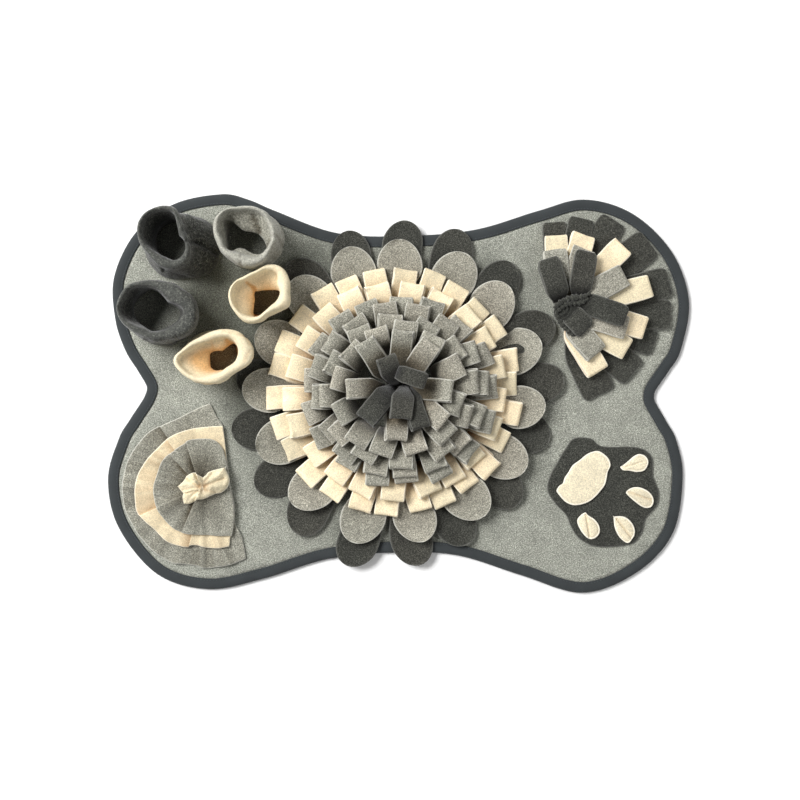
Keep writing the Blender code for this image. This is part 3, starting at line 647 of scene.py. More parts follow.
def strip_tree():
    """Strips on root points, whose marks say which one, how it turns and how far it reaches."""
    if found := bpy.data.node_groups.get("place_strips"):
        return found
    takes = (
        ("Roots", "Geometry"), ("Strips", "Collection"), ("Wave height", "Float", 0.001),
        ("Wave size", "Float", 0.03), ("Seed", "Int", 1), ("Material", "Material"),
    )
    gives = (("Strips", "Geometry"),)
    w, given, out = new_group("place_strips", "GeometryNodeTree", takes, gives)

    def mark(name, kind="FLOAT"):
        return w.first("GeometryNodeInputNamedAttribute", {"Name": name}, data_type=kind)

    turn = w.first("ShaderNodeCombineXYZ", {"Z": mark("turn")})
    values = {"Collection": given["Strips"], "Separate Children": True, "Reset Children": True}
    shelf = w.first("GeometryNodeCollectionInfo", values, transform_space="ORIGINAL")
    values = {"Points": given["Roots"], "Instance": shelf, "Pick Instance": True}
    values["Instance Index"] = mark("pick", "INT")
    values["Rotation"] = w.first("FunctionNodeEulerToRotation", {"Euler": turn})
    size = {"X": mark("reach"), "Y": 1.0, "Z": mark("lift")}
    values["Scale"] = w.first("ShaderNodeCombineXYZ", size)
    strips = w.first("GeometryNodeInstanceOnPoints", values)
    chance = w.node("FunctionNodeRandomValue", {"Seed": given["Seed"]}, data_type="FLOAT")
    values = {"Geometry": strips, "Name": "tone", "Value": chance.outputs[1]}
    sort = {"data_type": "FLOAT", "domain": "INSTANCE"}
    toned = w.first("GeometryNodeStoreNamedAttribute", values, **sort)
    real = w.first("GeometryNodeRealizeInstances", {"Geometry": toned})
    values = {"Vector": w.first("GeometryNodeInputPosition"), "W": given["Seed"], "Detail": 1.0}
    values["Scale"] = w.math("DIVIDE", 1.0, given["Wave size"])
    waves = w.node("ShaderNodeTexNoise", values, noise_dimensions="4D")
    middle = w.vector("SUBTRACT", waves.outputs["Color"], (0.5, 0.5, 0.5))
    loose = w.math("MULTIPLY", given["Wave height"], mark("free"))
    push = w.vector("SCALE", middle, w.math("MULTIPLY", loose, 2.0))
    moved = w.first("GeometryNodeSetPosition", {"Geometry": real, "Offset": push})
    dress(w, moved, given, out)
    return w.tree


def stitch_tree():
    """A running stitch: short threads an even distance apart, each along the line."""
    if found := bpy.data.node_groups.get("run_stitches"):
        return found
    takes = (
        ("Line", "Geometry"), ("Pitch", "Float", 0.0035), ("Stitch length", "Float", 0.0026),
        ("Thread", "Float", 0.0006), ("Material", "Material"),
    )
    gives = (("Stitches", "Geometry"),)
    w, given, out = new_group("run_stitches", "GeometryNodeTree", takes, gives)
    line = w.first("GeometryNodeMeshToCurve", {"Mesh": given["Line"]})
    values = {"Curve": line, "Length": given["Pitch"]}
    spots = w.first("GeometryNodeResampleCurve", values, mode="LENGTH")
    bead = w.first("GeometryNodeMeshUVSphere", {"Segments": 6, "Rings": 5, "Radius": 0.5})
    size = {"X": given["Stitch length"], "Y": given["Thread"], "Z": given["Thread"]}
    size = w.first("ShaderNodeCombineXYZ", size)
    thread = w.first("GeometryNodeTransform", {"Geometry": bead, "Scale": size})
    run = w.first("GeometryNodeInputTangent")
    turned = w.first("FunctionNodeAlignRotationToVector", {"Vector": run}, axis="X")
    values = {"Points": spots, "Instance": thread, "Rotation": turned}
    threads = w.first("GeometryNodeInstanceOnPoints", values)
    real = w.first("GeometryNodeRealizeInstances", {"Geometry": threads})
    dress(w, w.first("GeometryNodeSetShadeSmooth", {"Geometry": real}), given, out)
    return w.tree


def with_tree(made, tree, values):
    """Give an object a node tree with these inputs, and bake the result."""
    modifier = made.modifiers.new(tree.name, "NODES")
    modifier.node_group = tree
    names = {
        item.name: item.identifier
        for item in tree.interface.items_tree
        if item.item_type == "SOCKET" and item.in_out == "INPUT"
    }
    for key, value in values.items():
        modifier[names[key]] = value
    baked(made)


def lay_strips(name, roots, strips, cloth_name, seed, wave=1.0, spread=1.0):
    """Place strips on roots as one piece of cloth, waved by shares of the flower's waves.

    A root is (point, turn) for the strip of the same number, or (point, turn, reach, lift,
    number of the strip).
    """
    flower = bpy.context.scene.snuffle_flower
    material = cloth_of(cloth_name)
    shelf = bpy.data.collections.new(name + "_strips")
    kept = []
    for i, strip in enumerate(strips):
        cut = f"{name}_cut_{i:02d}"
        kept.append(bpy.data.objects.new(cut, strip.mesh(cut, material)))
        shelf.objects.link(kept[-1])
    rows = [(*root, 1.0, 1.0, i)[:5] for i, root in enumerate(roots)]
    mesh = bpy.data.meshes.new(name)
    mesh.from_pydata([row[0] * MM for row in rows], [], [])
    for column, mark in enumerate(("turn", "reach", "lift", "pick"), 1):
        marks = mesh.attributes.new(mark, "INT" if mark == "pick" else "FLOAT", "POINT")
        marks.data.foreach_set("value", [row[column] for row in rows])
    made = added(name, mesh)
    values = {"Strips": shelf, "Seed": seed, "Material": material}
    values |= {"Wave height": flower.wave * wave, "Wave size": flower.wave_size * spread}
    with_tree(made, strip_tree(), values)
    for sample in kept:
        bpy.data.objects.remove(sample)
    bpy.data.collections.remove(shelf)
    return made


# ---- pad and binding ---------------------------------------------------------------


def inside(outline, x, y):
    """Whether a place is inside a closed line."""
    found = False
    before = outline[-1]
    for point in outline:
        if (point.y > y) != (before.y > y):
            cross = (before.x - point.x) * (y - point.y) / (before.y - point.y) + point.x
            if x < cross:
                found = not found
        before = point
    return found


def edge_distance(outline, x, y):
    """How far a place is from the nearest point of a line."""
    return min((p.x - x) ** 2 + (p.y - y) ** 2 for p in outline) ** 0.5


PAD_PAINTED_SHADOWS = (
    # x, y, radius of the nook, distance over which its painted shadow fades, strength of the
    # painted shadow
    (-194, 104, 34, 34, 0.85), (-150, 75, 20, 40, 0.6), (-112, 140, 10, 60, 0.45),
    (-3, 3, 168, 38, 0.42), (-176, -20, 4, 50, 0.35),
)


def painted_pad_shadow(place):
    """How much painted shadow darkens a place on the pad in the nooks between the pieces that
    stand round it; half as much where a cup's foot stands.
    """
    deep = 0.0
    for x, y, full, fades, most in PAD_PAINTED_SHADOWS:
        away = math.hypot(place.x - x, place.y - y)
        deep += most * (1 - ease((away - full) / fades))
    for cup in CUPS.values():
        if (place.xy - Vector(cup["foot"])).length < min(cup["foot_radii"]):
            deep *= 0.5
    return min(deep, 1.0)


PAD_STEP = 8.0  # between points of its grid
PAD_RIMS = (9.0, 13.2, 15.5, 19.0)  # closed lines inside its outline


def make_pad():
    """The faced pad, softly uneven, pressed down where the binding holds it."""
    outline = mat_outline(5.0)
    rims = [inset(outline, d) for d in PAD_RIMS]
    grid = []
    row = 0
    y = -224.0
    while y < 224.0:
        x = -326.0 + (PAD_STEP / 2 if row % 2 else 0.0)
        while x < 326.0:
            if inside(rims[-1], x, y) and edge_distance(rims[-1], x, y) > 0.6 * PAD_STEP:
                grid.append(Vector((x, y, 0.0)))
            x += PAD_STEP
        y += PAD_STEP * 0.87
        row += 1
    count = len(outline)
    flat = [p for rim in rims for p in rim] + grid
    border = [(i, (i + 1) % count) for i in range(count)]
    spots, _, triangles, sources, *_ = delaunay_2d_cdt(
        [p.to_2d() for p in flat], border, [], 1, 1e-5
    )
    heights = [1.9] * count + [PAD_TOP - 0.6] * count + [PAD_TOP + 0.1] * count
    points = []
    for i, point in enumerate(spots):
        place = Vector((point.x, point.y, 0.0))
        swell = 0.28 * wave_at(place, 70.0, 3) + 0.14 * wave_at(place, 24.0, 4) - 0.12
        source = sources[i][0] if sources[i] else 0
        high = heights[source] if source < 3 * count else PAD_TOP + 0.15
        points.append(Vector((point.x, point.y, high + (swell if source >= 2 * count else 0.0))))
    cloth = Cloth()
    # painted shadow in the nooks round the pieces that stand on the pad
    top = cloth.ring(points, deep=[painted_pad_shadow(p) for p in points])
    low = cloth.ring([Vector((p.x, p.y, 0.3)) for p in points])
    rim = {}
    for triangle in triangles:
        cloth.faces.append([top[i] for i in triangle])
        cloth.faces.append([low[i] for i in reversed(triangle)])
        for a, b in zip(triangle, triangle[1:] + triangle[:1]):
            if (b, a) in rim:
                del rim[(b, a)]
            else:
                rim[(a, b)] = True
    cloth.faces.extend([top[b], top[a], low[a], low[b]] for a, b in rim)
    made = cloth.make("mat_pad", cloth_of("pad"))
    placed(made, "pad", "base_mat")


BINDING_SECTION = (
    # distance in from the outline, height
    (12.4, 4.75), (12.3, 5.35), (11.9, 5.62), (11.2, 5.64), (10.4, 5.40), (9.5, 5.62),
    (7.0, 5.80), (4.2, 5.62), (2.0, 5.05), (0.7, 4.15), (0.1, 2.9), (0.5, 1.4), (1.6, 0.5),
    (3.6, 0.1), (7.5, 0.0), (12.0, 0.0), (12.2, 1.1), (8.0, 1.2), (3.2, 1.7), (2.2, 2.9),
    (3.6, 4.2), (8.0, 4.6),
)
STITCHES = {"Pitch": 0.0035, "Stitch length": 0.0026, "Thread": 0.0006}


def make_binding():
    """The tape folded over the pad's edge, drawn in a little at its stitches."""
    outline = mat_outline(2.6)
    cloth = Cloth()
    rings = []
    for distance, z in BINDING_SECTION:
        points, uvs = [], []
        gone = 0.0
        for i, point in enumerate(inset(outline, distance)):
            gone += (outline[i] - outline[i - 1]).length if i else 0.0
            pucker = 0.16 * wave_at(point, 9.0, 5) + 0.2 * wave_at(point, 31.0, 6)
            points.append(Vector((point.x, point.y, z + (pucker if z > 3.0 else 0.0))))
            uvs.append((gone * MM, distance * MM))
        rings.append(cloth.ring(points, uvs))
    cloth.chain(rings + rings[:1])
    made = cloth.make("binding_tape", tape_material())
    placed(made, "binding", "edge_binding")
    seam = [Vector((p.x, p.y, 5.62)) * MM for p in inset(mat_outline(4.0), 10.5)]
    mesh = bpy.data.meshes.new("binding_stitches")
    mesh.from_pydata(seam, [(i, (i + 1) % len(seam)) for i in range(len(seam))], [])
    made = added("binding_stitches", mesh)
    with_tree(made, stitch_tree(), {**STITCHES, "Material": thread_material()})
    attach(made, "root")


# ---- flower --------------------------------------------------------------------------


def petal_half(part, span, root_wide, wide):
    """Half a petal's width at a share of its length: its tip is near half a circle."""
    widest = 1 - PETAL_TIP * wide / span
    if part < widest:
        grown = math.sin(math.pi / 2 * part / widest)
        return (root_wide + (wide - root_wide) * grown) / 2
    past = (part - widest) / (1 - widest)
    return wide * max(1 - past**2, 0.0) ** 0.5 / 2


def cut_petal(span, root_wide, wide, lift, chance):
    """One petal from its root outwards: a rounded leaf, cupped, with a crease at its root."""
    thick = fleece_thick()
    wide *= chance.uniform(0.94, 1.03)
    cup = chance.uniform(0.4, 2.4)
    crease = chance.uniform(2.2, 4.4)
    lean = chance.uniform(0.0, 0.09) * chance.choice((-1, 1))
    bend = chance.uniform(-0.08, 0.08)
    edge_wave = chance.uniform(0.4, 1.2)
    phase = chance.uniform(0, 6.28)
    edge = min(EDGE_ROUND, thick / 2)
    # share of the half width, share of the thickness, cut mark (a pale edge, partly a painted
    # highlight)
    half_section = [(s, 0.5, 0.5 * (abs(s) == 1)) for s in PETAL_ACROSS]
    half_section += [(1.0, 0.36, 0.8), (1.0, 0.0, 1.0), (1.0, -0.36, 0.8)]
    section = half_section + [(-s, -u, c) for s, u, c in half_section]
    cloth = Cloth()
    rings = []
    for part in (1 - (1 - k / 26) ** 1.5 for k in range(27)):
        x = -PETAL_HIDDEN + (span + PETAL_HIDDEN) * part
        true = max(x / span, 0.0)
        half = max(petal_half(min(true, 0.9985), span, root_wide, wide), 0.8)
        rise = lift * true**2
        flat = half - edge
        end_mark = 0.9 * ease((true - 0.93) / 0.07) if part > 0.985 else 0.0
        points, uvs, cut = [], [], []
        for s, u, mark in section:
            out = s * flat
            if mark > 0.5:
                out = s * (flat + edge * (0.75 if mark < 1 else 1.0))
            share_out = out / half
            hollow = cup * (share_out * share_out - 0.1) * ease(true * 1.6)
            fold = crease * (1 - math.exp(-((out / 6.5) ** 2))) * (1 - ease(true / 0.95))
            ripple = edge_wave * math.sin(phase + 3.2 * true + 2.0 * share_out) * ease(true)
            z = rise + hollow + fold + ripple * abs(share_out) + u * thick + lean * (out + half)
            points.append(Vector((x, out + bend * x * true, z)))
            uvs.append((x * MM, out * MM))
            cut.append(max(mark, end_mark))
        # painted shade, darkest at the root by the strips and fading towards the tip
        deep = 0.45 * (1 - ease((true - 0.1) / 0.9))
        rings.append(cloth.ring(points, uvs, cut=cut, free=ease(true * 2), deep=deep))
    cloth.tube(rings)
    return cloth


def make_petals(name, cloth_name, rows, root_wide, wide, lift, bottom, seed):
    """One round of petals, each cut to its own reach."""
    chance = random.Random(seed)
    outer = PETAL_RING
    strips = [cut_petal(reach - outer, root_wide, wide, lift, chance) for _, reach in rows]
    middle = bottom + fleece_thick() / 2 + 0.1
    angles = [math.radians(degrees) for degrees, _ in rows]
    roots = [(polar(FLOWER, outer, angle, middle), angle) for angle in angles]
    made = lay_strips(name, roots, strips, cloth_name, seed, wave=0.6, spread=1.6)
    placed(made, "fleece_" + cloth_name, "flower_" + name)


LOOP_THICK = ((0.0, 5.0), (0.35, 4.2), (0.7, 5.0), (0.92, 6.2), (1.0, 6.2))


def bezier(knots, t):
    """The place and the direction at t on a curve through the plane from four knots."""
    weights = ((1 - t) ** 3, 3 * t * (1 - t) ** 2, 3 * t * t * (1 - t), t**3)
    place = [sum(w * k[axis] for w, k in zip(weights, knots)) for axis in (0, 1)]
    slopes = ((1 - t) ** 2, 2 * t * (1 - t), t * t)
    steps = [(b[0] - a[0], b[1] - a[1]) for a, b in zip(knots, knots[1:])]
    lean = Vector([sum(w * s[axis] for w, s in zip(slopes, steps)) for axis in (0, 1)])
    return place, lean.normalized()


def fold_path(knots, half_at, last=0.955, ups=15, turns=8):
    """The middle line of a strip folded back on itself, as rows of (x, z, t, layer)."""
    top, under, bend = [], [], []
    for k in range(ups + 1):
        t = last * k / ups
        place, lean = bezier(knots, t)
        half = half_at(t)
        top.append((place[0] - lean.y * half, place[1] + lean.x * half, t, 1.0))
        under.append((place[0] + lean.y * half, place[1] - lean.x * half, t, -1.0))
    for k in range(1, turns):
        turn = math.pi * k / turns
        out, high = 0.9 * half * math.sin(turn), half * math.cos(turn)
        x, z = place[0] + lean.x * out - lean.y * high, place[1] + lean.y * out + lean.x * high
        bend.append((x, z, 1.0, math.cos(turn)))
    return top + bend + under[::-1]


def turned_strip(cloth, run, roll, skew):
    """Roll and bend a strip more and more towards its end, both of its layers together."""
    for i, point in enumerate(cloth.points):
        far = ease((point.x / run - 0.1) / 0.8)
        turn, yaw = roll * far, skew * far
        y = point.y * math.cos(turn)
        z = point.z + point.y * math.sin(turn)
        cloth.points[i] = Vector((point.x - y * math.sin(yaw), y + skew * 0.6 * point.x * far, z))


def fold_stations(path, slip, droop, breadth_at, crown, dim, corner=0.7):
    """Stations of a strip along a folded path of rows (x, z, t, layer).

    dim says from where, and over how much of the strip, the painted shade of the hollow fades.
    """
    centres = []
    for x, z, t, layer in path:
        under = (1 - layer) / 2
        centres.append(Vector((x, slip * under * ease(t), z + droop * ease(t))))
    stations = []
    last = len(path) - 1
    for i, (x, z, t, layer) in enumerate(path):
        along = (centres[min(i + 1, last)] - centres[max(i - 1, 0)]).normalized()
        side = Vector((0.0, 1.0, 0.0))
        side = (side - along * side.dot(along)).normalized()
        bow = crown * ease(t * 2) * (1 - 0.7 * ease((t - 0.7) / 0.25)) * layer
        up = along.cross(side)
        # painted shade: dark in the hollow, fading out along the strip, and darker on the under
        # layer
        deep = min(1 - ease((t - dim[0]) / dim[1]) + 0.4 * max(-layer, 0.0), 1.0)
        breadth = breadth_at(x, t) - 2 * corner * (1 - abs(layer))
        stations.append((centres[i], side, up, breadth, bow, ease(t * 1.6), deep))
    return stations


TIER_KNOTS = ((0.0, 0.0, 0.0), (0.02, 0.85, 0.0), (0.34, 1.0, 2.4), (1.0, 1.0, 0.0))
CROWN_KNOTS = ((0.0, 0.0, 0.0), (0.04, 0.66, 0.0), (0.30, 0.86, 0.0), (1.0, 1.0, 0.0))


def cut_loop(run, high, knots, room, chance, roll, skew, opening, crown, dim=(0.1, 0.9)):
    """One folded strip, from a root at the origin out to run, its end at this height."""
    thick, wide = fleece_thick(), strip_wide()

    def half_at(t):
        opened = 1 + (opening - 1) * ease((t - 0.5) / 0.4)
        return (read_table(LOOP_THICK, t) - thick) / 2 * opened

    def breadth_at(x, t):
        return min(wide * (0.9 + 0.1 * ease(t)), room(x))

    # knots are shares of the run and of the height, and a height to add
    path = fold_path([(a * run, b * high + c) for a, b, c in knots], half_at)
    slip, droop = chance.uniform(-1.8, 1.8), chance.uniform(-0.9, 0.5)
    cloth = Cloth()
    stations = fold_stations(path, slip, droop, breadth_at, crown, dim)
    cloth.long = ribbon(cloth, stations, thick)
    turned_strip(cloth, run, roll, skew)
    return cloth


SEAM_BAND = ((-2.4, 0.0), (-2.4, 2.0), (-1.6, 2.9), (1.6, 2.9), (2.4, 2.0), (2.4, 0.0))


def seam_band(radius):
    """The narrow band of cloth that a round of strips is sewn to."""
    cloth = Cloth()
    turns = [2 * math.pi * i / 72 for i in range(72)]
    rings = []
    for out, up in SEAM_BAND:
        spots = [polar(FLOWER, radius + out, turn, ON_PAD + up) for turn in turns]
        rings.append(cloth.ring(spots))
    cloth.chain(rings + rings[:1])
    return cloth


def make_tier(row, seed):
    """One round of the flower's folded strips, on the band that they are sewn to."""
    name, count, root_radius, reach, end_high, cloth_name, first, lean = row
    chance = random.Random(seed)
    shapes = random.Random(seed + 100)
    wide = strip_wide()
    pitch = 2 * math.pi / count
    spare = (pitch * reach - wide) / 2 / reach
    run, rise = reach - root_radius, end_high - ON_PAD

    def room(x):
        return pitch * (root_radius + max(x, 0.0)) - 0.5

    strips = []
    for _ in range(TIER_SHAPES):
        roll, skew = shapes.uniform(-0.24, 0.24), shapes.uniform(-0.12, 0.12)
        opening, crown = shapes.uniform(0.9, 1.8), shapes.uniform(-0.5, 1.0)
        strips.append(cut_loop(run, rise, TIER_KNOTS, room, shapes, roll, skew, opening, crown))
    roots = []
    for i in range(count):
        angle = math.radians(first) + i * pitch
        yaw = chance.uniform(-0.7, 0.7) * spare
        far = reach * (1 - FLOWER_OVAL * math.sin(angle) ** 2) + chance.uniform(-3.0, 3.0)
        far += lean * math.cos(angle)
        high = end_high + chance.uniform(-0.5, 0.5)
        turn = angle + yaw * reach / run + shapes.uniform(-0.06, 0.06)
        root = polar(FLOWER, root_radius, angle, ON_PAD)
        lift = (high - ON_PAD) / rise
        roots.append((root, turn, (far - root_radius) / run, lift, shapes.randrange(TIER_SHAPES)))
    made = lay_strips(name + "_cloth", roots, strips, cloth_name, seed)
    band = seam_band(root_radius).make(name + "_band", cloth_of(cloth_name))
    with bpy.context.temp_override(active_object=made, selected_editable_objects=[made, band]):
        bpy.ops.object.join()
    placed(made, "fleece_" + cloth_name, name)


CROWN = {
    # root x and y, end x and y from the flower's middle, height of the end, width, roll, skew,
    # and how far out the painted shade of the hollow starts to fade
    "flower_loops_grey_5": (
        "grey",
        (
            (-15, 4, -54, 2, 60.0, 22, 0.10, 0.02, 0.50),
            (-9, 13, -35, 54, 60.5, 23, -0.10, 0.00, 0.66),
            (2, 15, 8, 66, 59.0, 23, 0.05, 0.00, 0.74),
            (13, 14, 39, 53, 61.5, 24, 0.10, -0.04, 0.56),
            (17, 4, 62, -2, 60.0, 24, -0.12, 0.04, 0.68),
            (18, -6, 53, -36, 59.0, 24, 0.12, 0.00, 0.52),
            (2, -12, 0, -55, 58.0, 24, -0.10, 0.05, 0.70),
        ),
    ),
    "flower_loops_dark": (
        "dark",
        (
            (-1, 8, -10, 36, 67.0, 22, -0.20, 0.02, 0.1),
            (-4, 4, -34, -32, 64.0, 24, 0.12, 0.00, 0.1),
            (9, 5, 6, -31, 67.0, 24, 0.00, -0.02, 0.1),
            (14, 4, 27, -42, 63.5, 21, -0.25, 0.04, 0.1),
        ),
    ),
}
KNOT = {"root": (3, 19, 62), "end": (31, 9, 70), "root_wide": 14.5, "wide": 18.0}


def make_crown(name, cloth_name, rows, seed):
    """The strips that lean out of the hollow at the flower's top; a short one ties the dark."""
    shapes = random.Random(seed)
    strips, roots = [], []
    for x0, y0, x1, y1, high, wide, roll, skew, fade in rows:
        way = Vector((x1 - x0, y1 - y0))
        dim = (fade, 0.95 - fade)

        def room(x, wide=wide):
            return min(9.0 + max(x, 0.0) * 1.3, wide)

        shape = (CROWN_KNOTS, room, shapes, roll, skew, 1.0, 0.9, dim)
        strips.append(cut_loop(way.length, high - ON_PAD, *shape))
        roots.append((FLOWER + Vector((x0, y0, ON_PAD)), math.atan2(way.y, way.x)))
    if cloth_name == "dark":
        root, end = Vector(KNOT["root"]), Vector(KNOT["end"])
        run = end - root
        shape = (0.0, run.z, KNOT["root_wide"], KNOT["wide"], 0.0, shapes, 1.0)
        strips.append(cut_fan_strip(math.hypot(run.x, run.y), *shape))
        roots.append((FLOWER + root, math.atan2(run.y, run.x)))
    made = lay_strips(name + "_cloth", roots, strips, cloth_name, seed)
    placed(made, "fleece_" + cloth_name, name)
    wide = bpy.context.scene.snuffle_flower.strip_wide


# ---- cups ------------------------------------------------------------------------------

CUPS = {
    # radii are evenly spaced all the way round, anticlockwise from +X; creases run from x, y
    # to x, y from the rim's middle, with their depth and half width; sunk is the distance in
    # millimetres over which painted shade grows to full inside, from 3 mm in from the mouth
    "cup_dark_back": {
        "cloth": "dark", "cuff": 0.0, "high": 60, "sunk": 20, "throat_at": 0.5,
        "foot": (-238, 163), "foot_radii": (40, 38, 33, 36, 42, 41, 35, 39), "rim": (-250, 169),
        "rim_radii": (24, 23, 25, 31, 32, 31.5, 32, 31, 29, 28, 27.5, 31, 36, 39, 37, 30),
        "opening_radii": (
            16, 15.5, 18, 25, 26, 27, 27, 25, 23.5, 22, 20.5, 20.5, 23, 28.5, 28, 24,
        ),
        "throat": (-251, 169),
        "throat_radii": (
            15, 14.5, 17, 22, 20, 17, 14.5, 13.5, 13.5, 14.5, 17, 19.5, 21.5, 26.5, 26, 22,
        ),
        "creases": (
            (17.6, -0.7, 23.4, 10, 1.3, 2.2), (25.4, -7.4, 32.1, -5.5, 2.2, 2.6),
            (32.1, -5.5, 56, -19, 2.2, 2.6), (-21, -20, -8.5, -34.5, 1.6, 1.5),
            (-8.5, -34.5, 22, -42.3, 1.6, 1.5),
        ),
    },
    "cup_grey": {
        "cloth": "grey", "cuff": 1.0, "high": 56, "sunk": 62, "throat_at": 0.64,
        "foot": (-162, 170), "foot_radii": (35, 33, 31, 31, 31, 31, 31, 33), "rim": (-164, 175),
        "rim_radii": (33, 29, 28, 27, 26, 27, 31, 35, 35, 34, 35, 36, 39, 40, 38, 36),
        "opening_radii": (26, 25, 24, 22, 21, 22, 28, 29, 28, 26, 28, 26, 27, 31, 30, 29),
        "throat": (-170, 169),
        "throat_radii": (22, 14, 9, 8, 9, 15, 27, 20, 17.5, 17.5, 20, 12.5, 11.5, 15, 29, 28),
        "creases": (
            (-6, -26, -4.8, -37, 1.4, 1.5), (6.7, 14, 12.4, 0, 4.0, 2.8),
            (19.8, -17.2, 27.2, -5.7, 2.0, 1.7), (34, -6, 41, -26, 1.4, 1.5),
            (26, -28, 31, -15, 1.0, 2.0),
        ),
    },
    "cup_dark_front": {
        "cloth": "dark", "cuff": 1.0, "high": 54, "sunk": 22, "throat_at": 0.5,
        "foot": (-263, 90), "foot_radii": (38, 34, 32, 33, 37, 35, 36, 38), "rim": (-265, 90),
        "rim_radii": (
            48.5, 43.5, 38.5, 33, 32, 33, 36.5, 37.5, 38, 35.2, 32, 31, 34.3, 36.8, 43, 49,
        ),
        "opening_radii": (
            33, 21, 19, 21, 23, 26, 31, 31, 33.5, 29, 23.5, 21.5, 23.5, 25, 27, 31.5,
        ),
        "throat": (-269, 91),
        "throat_radii": (30, 20, 19, 20, 22, 22, 23, 22, 21, 20, 20, 20, 23, 24, 25, 30),
        "creases": (
            (26.4, 29, 46, 17, 2.6, 2.0), (46, 17, 52, 2, 2.0, 2.0),
            (34.6, 3.5, 38.8, -6.4, 1.3, 1.5), (38.8, -6.4, 35.5, -18, 1.3, 1.5),
            (24.8, -22.9, 28.9, -32, 1.3, 1.5), (-10.6, -32, 27.2, -33.5, 1.5, 1.5),
        ),
    },
    "cup_cream_back": {
        "cloth": "cream", "cuff": 1.0, "high": 50, "sunk": 26, "throat_at": 0.54,
        "foot": (-151, 107), "foot_radii": (26, 26, 25, 27, 28, 26, 22, 23), "rim": (-152, 109),
        "rim_radii": (35, 37, 37.5, 32.5, 24, 22, 23, 27.5, 31, 32.4, 33, 35, 32.5, 27.5, 29, 37),
        "opening_radii": (
            24, 23, 29, 25, 18.5, 17, 17.5, 23.5, 26.5, 27.5, 28, 27.5, 26, 22, 20.5, 22.5,
        ),
        "throat": (-149, 103),
        "throat_radii": (19, 21, 14, 10.2, 9, 9, 9.8, 8.5, 7.7, 9, 13, 21, 17, 14, 13, 15),
        "creases": (
            (19.2, 25.3, 21, 12.2, 1.4, 1.5), (-11.8, 10.4, -4.7, 5, 2.4, 2.0),
            (-4.7, 5, -2.9, -3.3, 2.4, 2.0), (26, -17, 31, -12, 0.8, 1.5),
        ),
    },
    "cup_cream_front": {
        "cloth": "cream", "cuff": 1.0, "high": 46, "sunk": 13, "throat_at": 0.6,
        "foot": (-208, 42), "foot_radii": (31, 30, 27, 28, 32, 30, 28, 28), "rim": (-204, 36),
        "rim_radii": (
            46, 48.4, 43.5, 36, 30, 27, 28, 31.5, 39, 34.5, 30, 28, 27.5, 27, 27.5, 32.5,
        ),
        "opening_radii": (
            28, 32.5, 32, 25, 20, 19, 21, 25.5, 33, 28.5, 23.5, 19, 16.5, 16, 17.5, 20,
        ),
        "throat": (-194, 39),
        "throat_radii": (
            21.5, 22.5, 20.5, 9.5, 7.5, 7.8, 9.5, 12, 11.7, 12.5, 15, 15.3, 13.5, 14, 13.7, 15,
        ),
        "creases": (
            (0.8, 27, 2, 13.9, 0.8, 1.5), (16.9, 20.5, 22.9, 16.3, 2.6, 2.2),
            (38.5, -1.7, 44.4, 10.3, 1.3, 1.5), (15.7, 31, 39.6, 26, 1.1, 1.5),
            (39.6, 26, 44, 16, 1.1, 1.5), (-14.2, -25.6, 13.3, -28, 1.3, 1.5),
        ),
    },
}
CUP_OUTSIDE = (
    # share of the height, outward, cut: a paler edge of the cuff, partly a painted highlight
    (0.0, -0.4, 0.0), (0.03, 0.5, 0.0), (0.09, 0.9, 0.0), (0.17, 0.8, 0.0), (0.25, 0.4, 0.0),
    (0.33, 0.1, 0.0), (0.40, 0.0, 0.0), (0.46, 0.0, 0.0), (0.49, 0.1, 0.0), (0.46, 0.5, 0.3),
    (0.44, 0.8, 1.0), (0.432, 1.6, 1.0), (0.44, 2.3, 0.9), (0.48, 2.7, 0.1), (0.56, 2.9, 0.0),
    (0.65, 2.8, 0.0), (0.74, 2.6, 0.0), (0.81, 2.4, 0.0),
)
CUP_ROLL_AT = 0.87  # share of the height from which the rim rolls over
CUP_INSIDE = 26  # rings from the rim down to the foot, inside
CUP_ROLL = 13  # steps in which the rim rolls over
CUP_WALL = 3.2
CUFF_OUT = 2.4  # how far the cuff stands outside the tube
CUFF_AT = 0.44  # share of the height at which the cuff ends
CUP_SIDES = 200


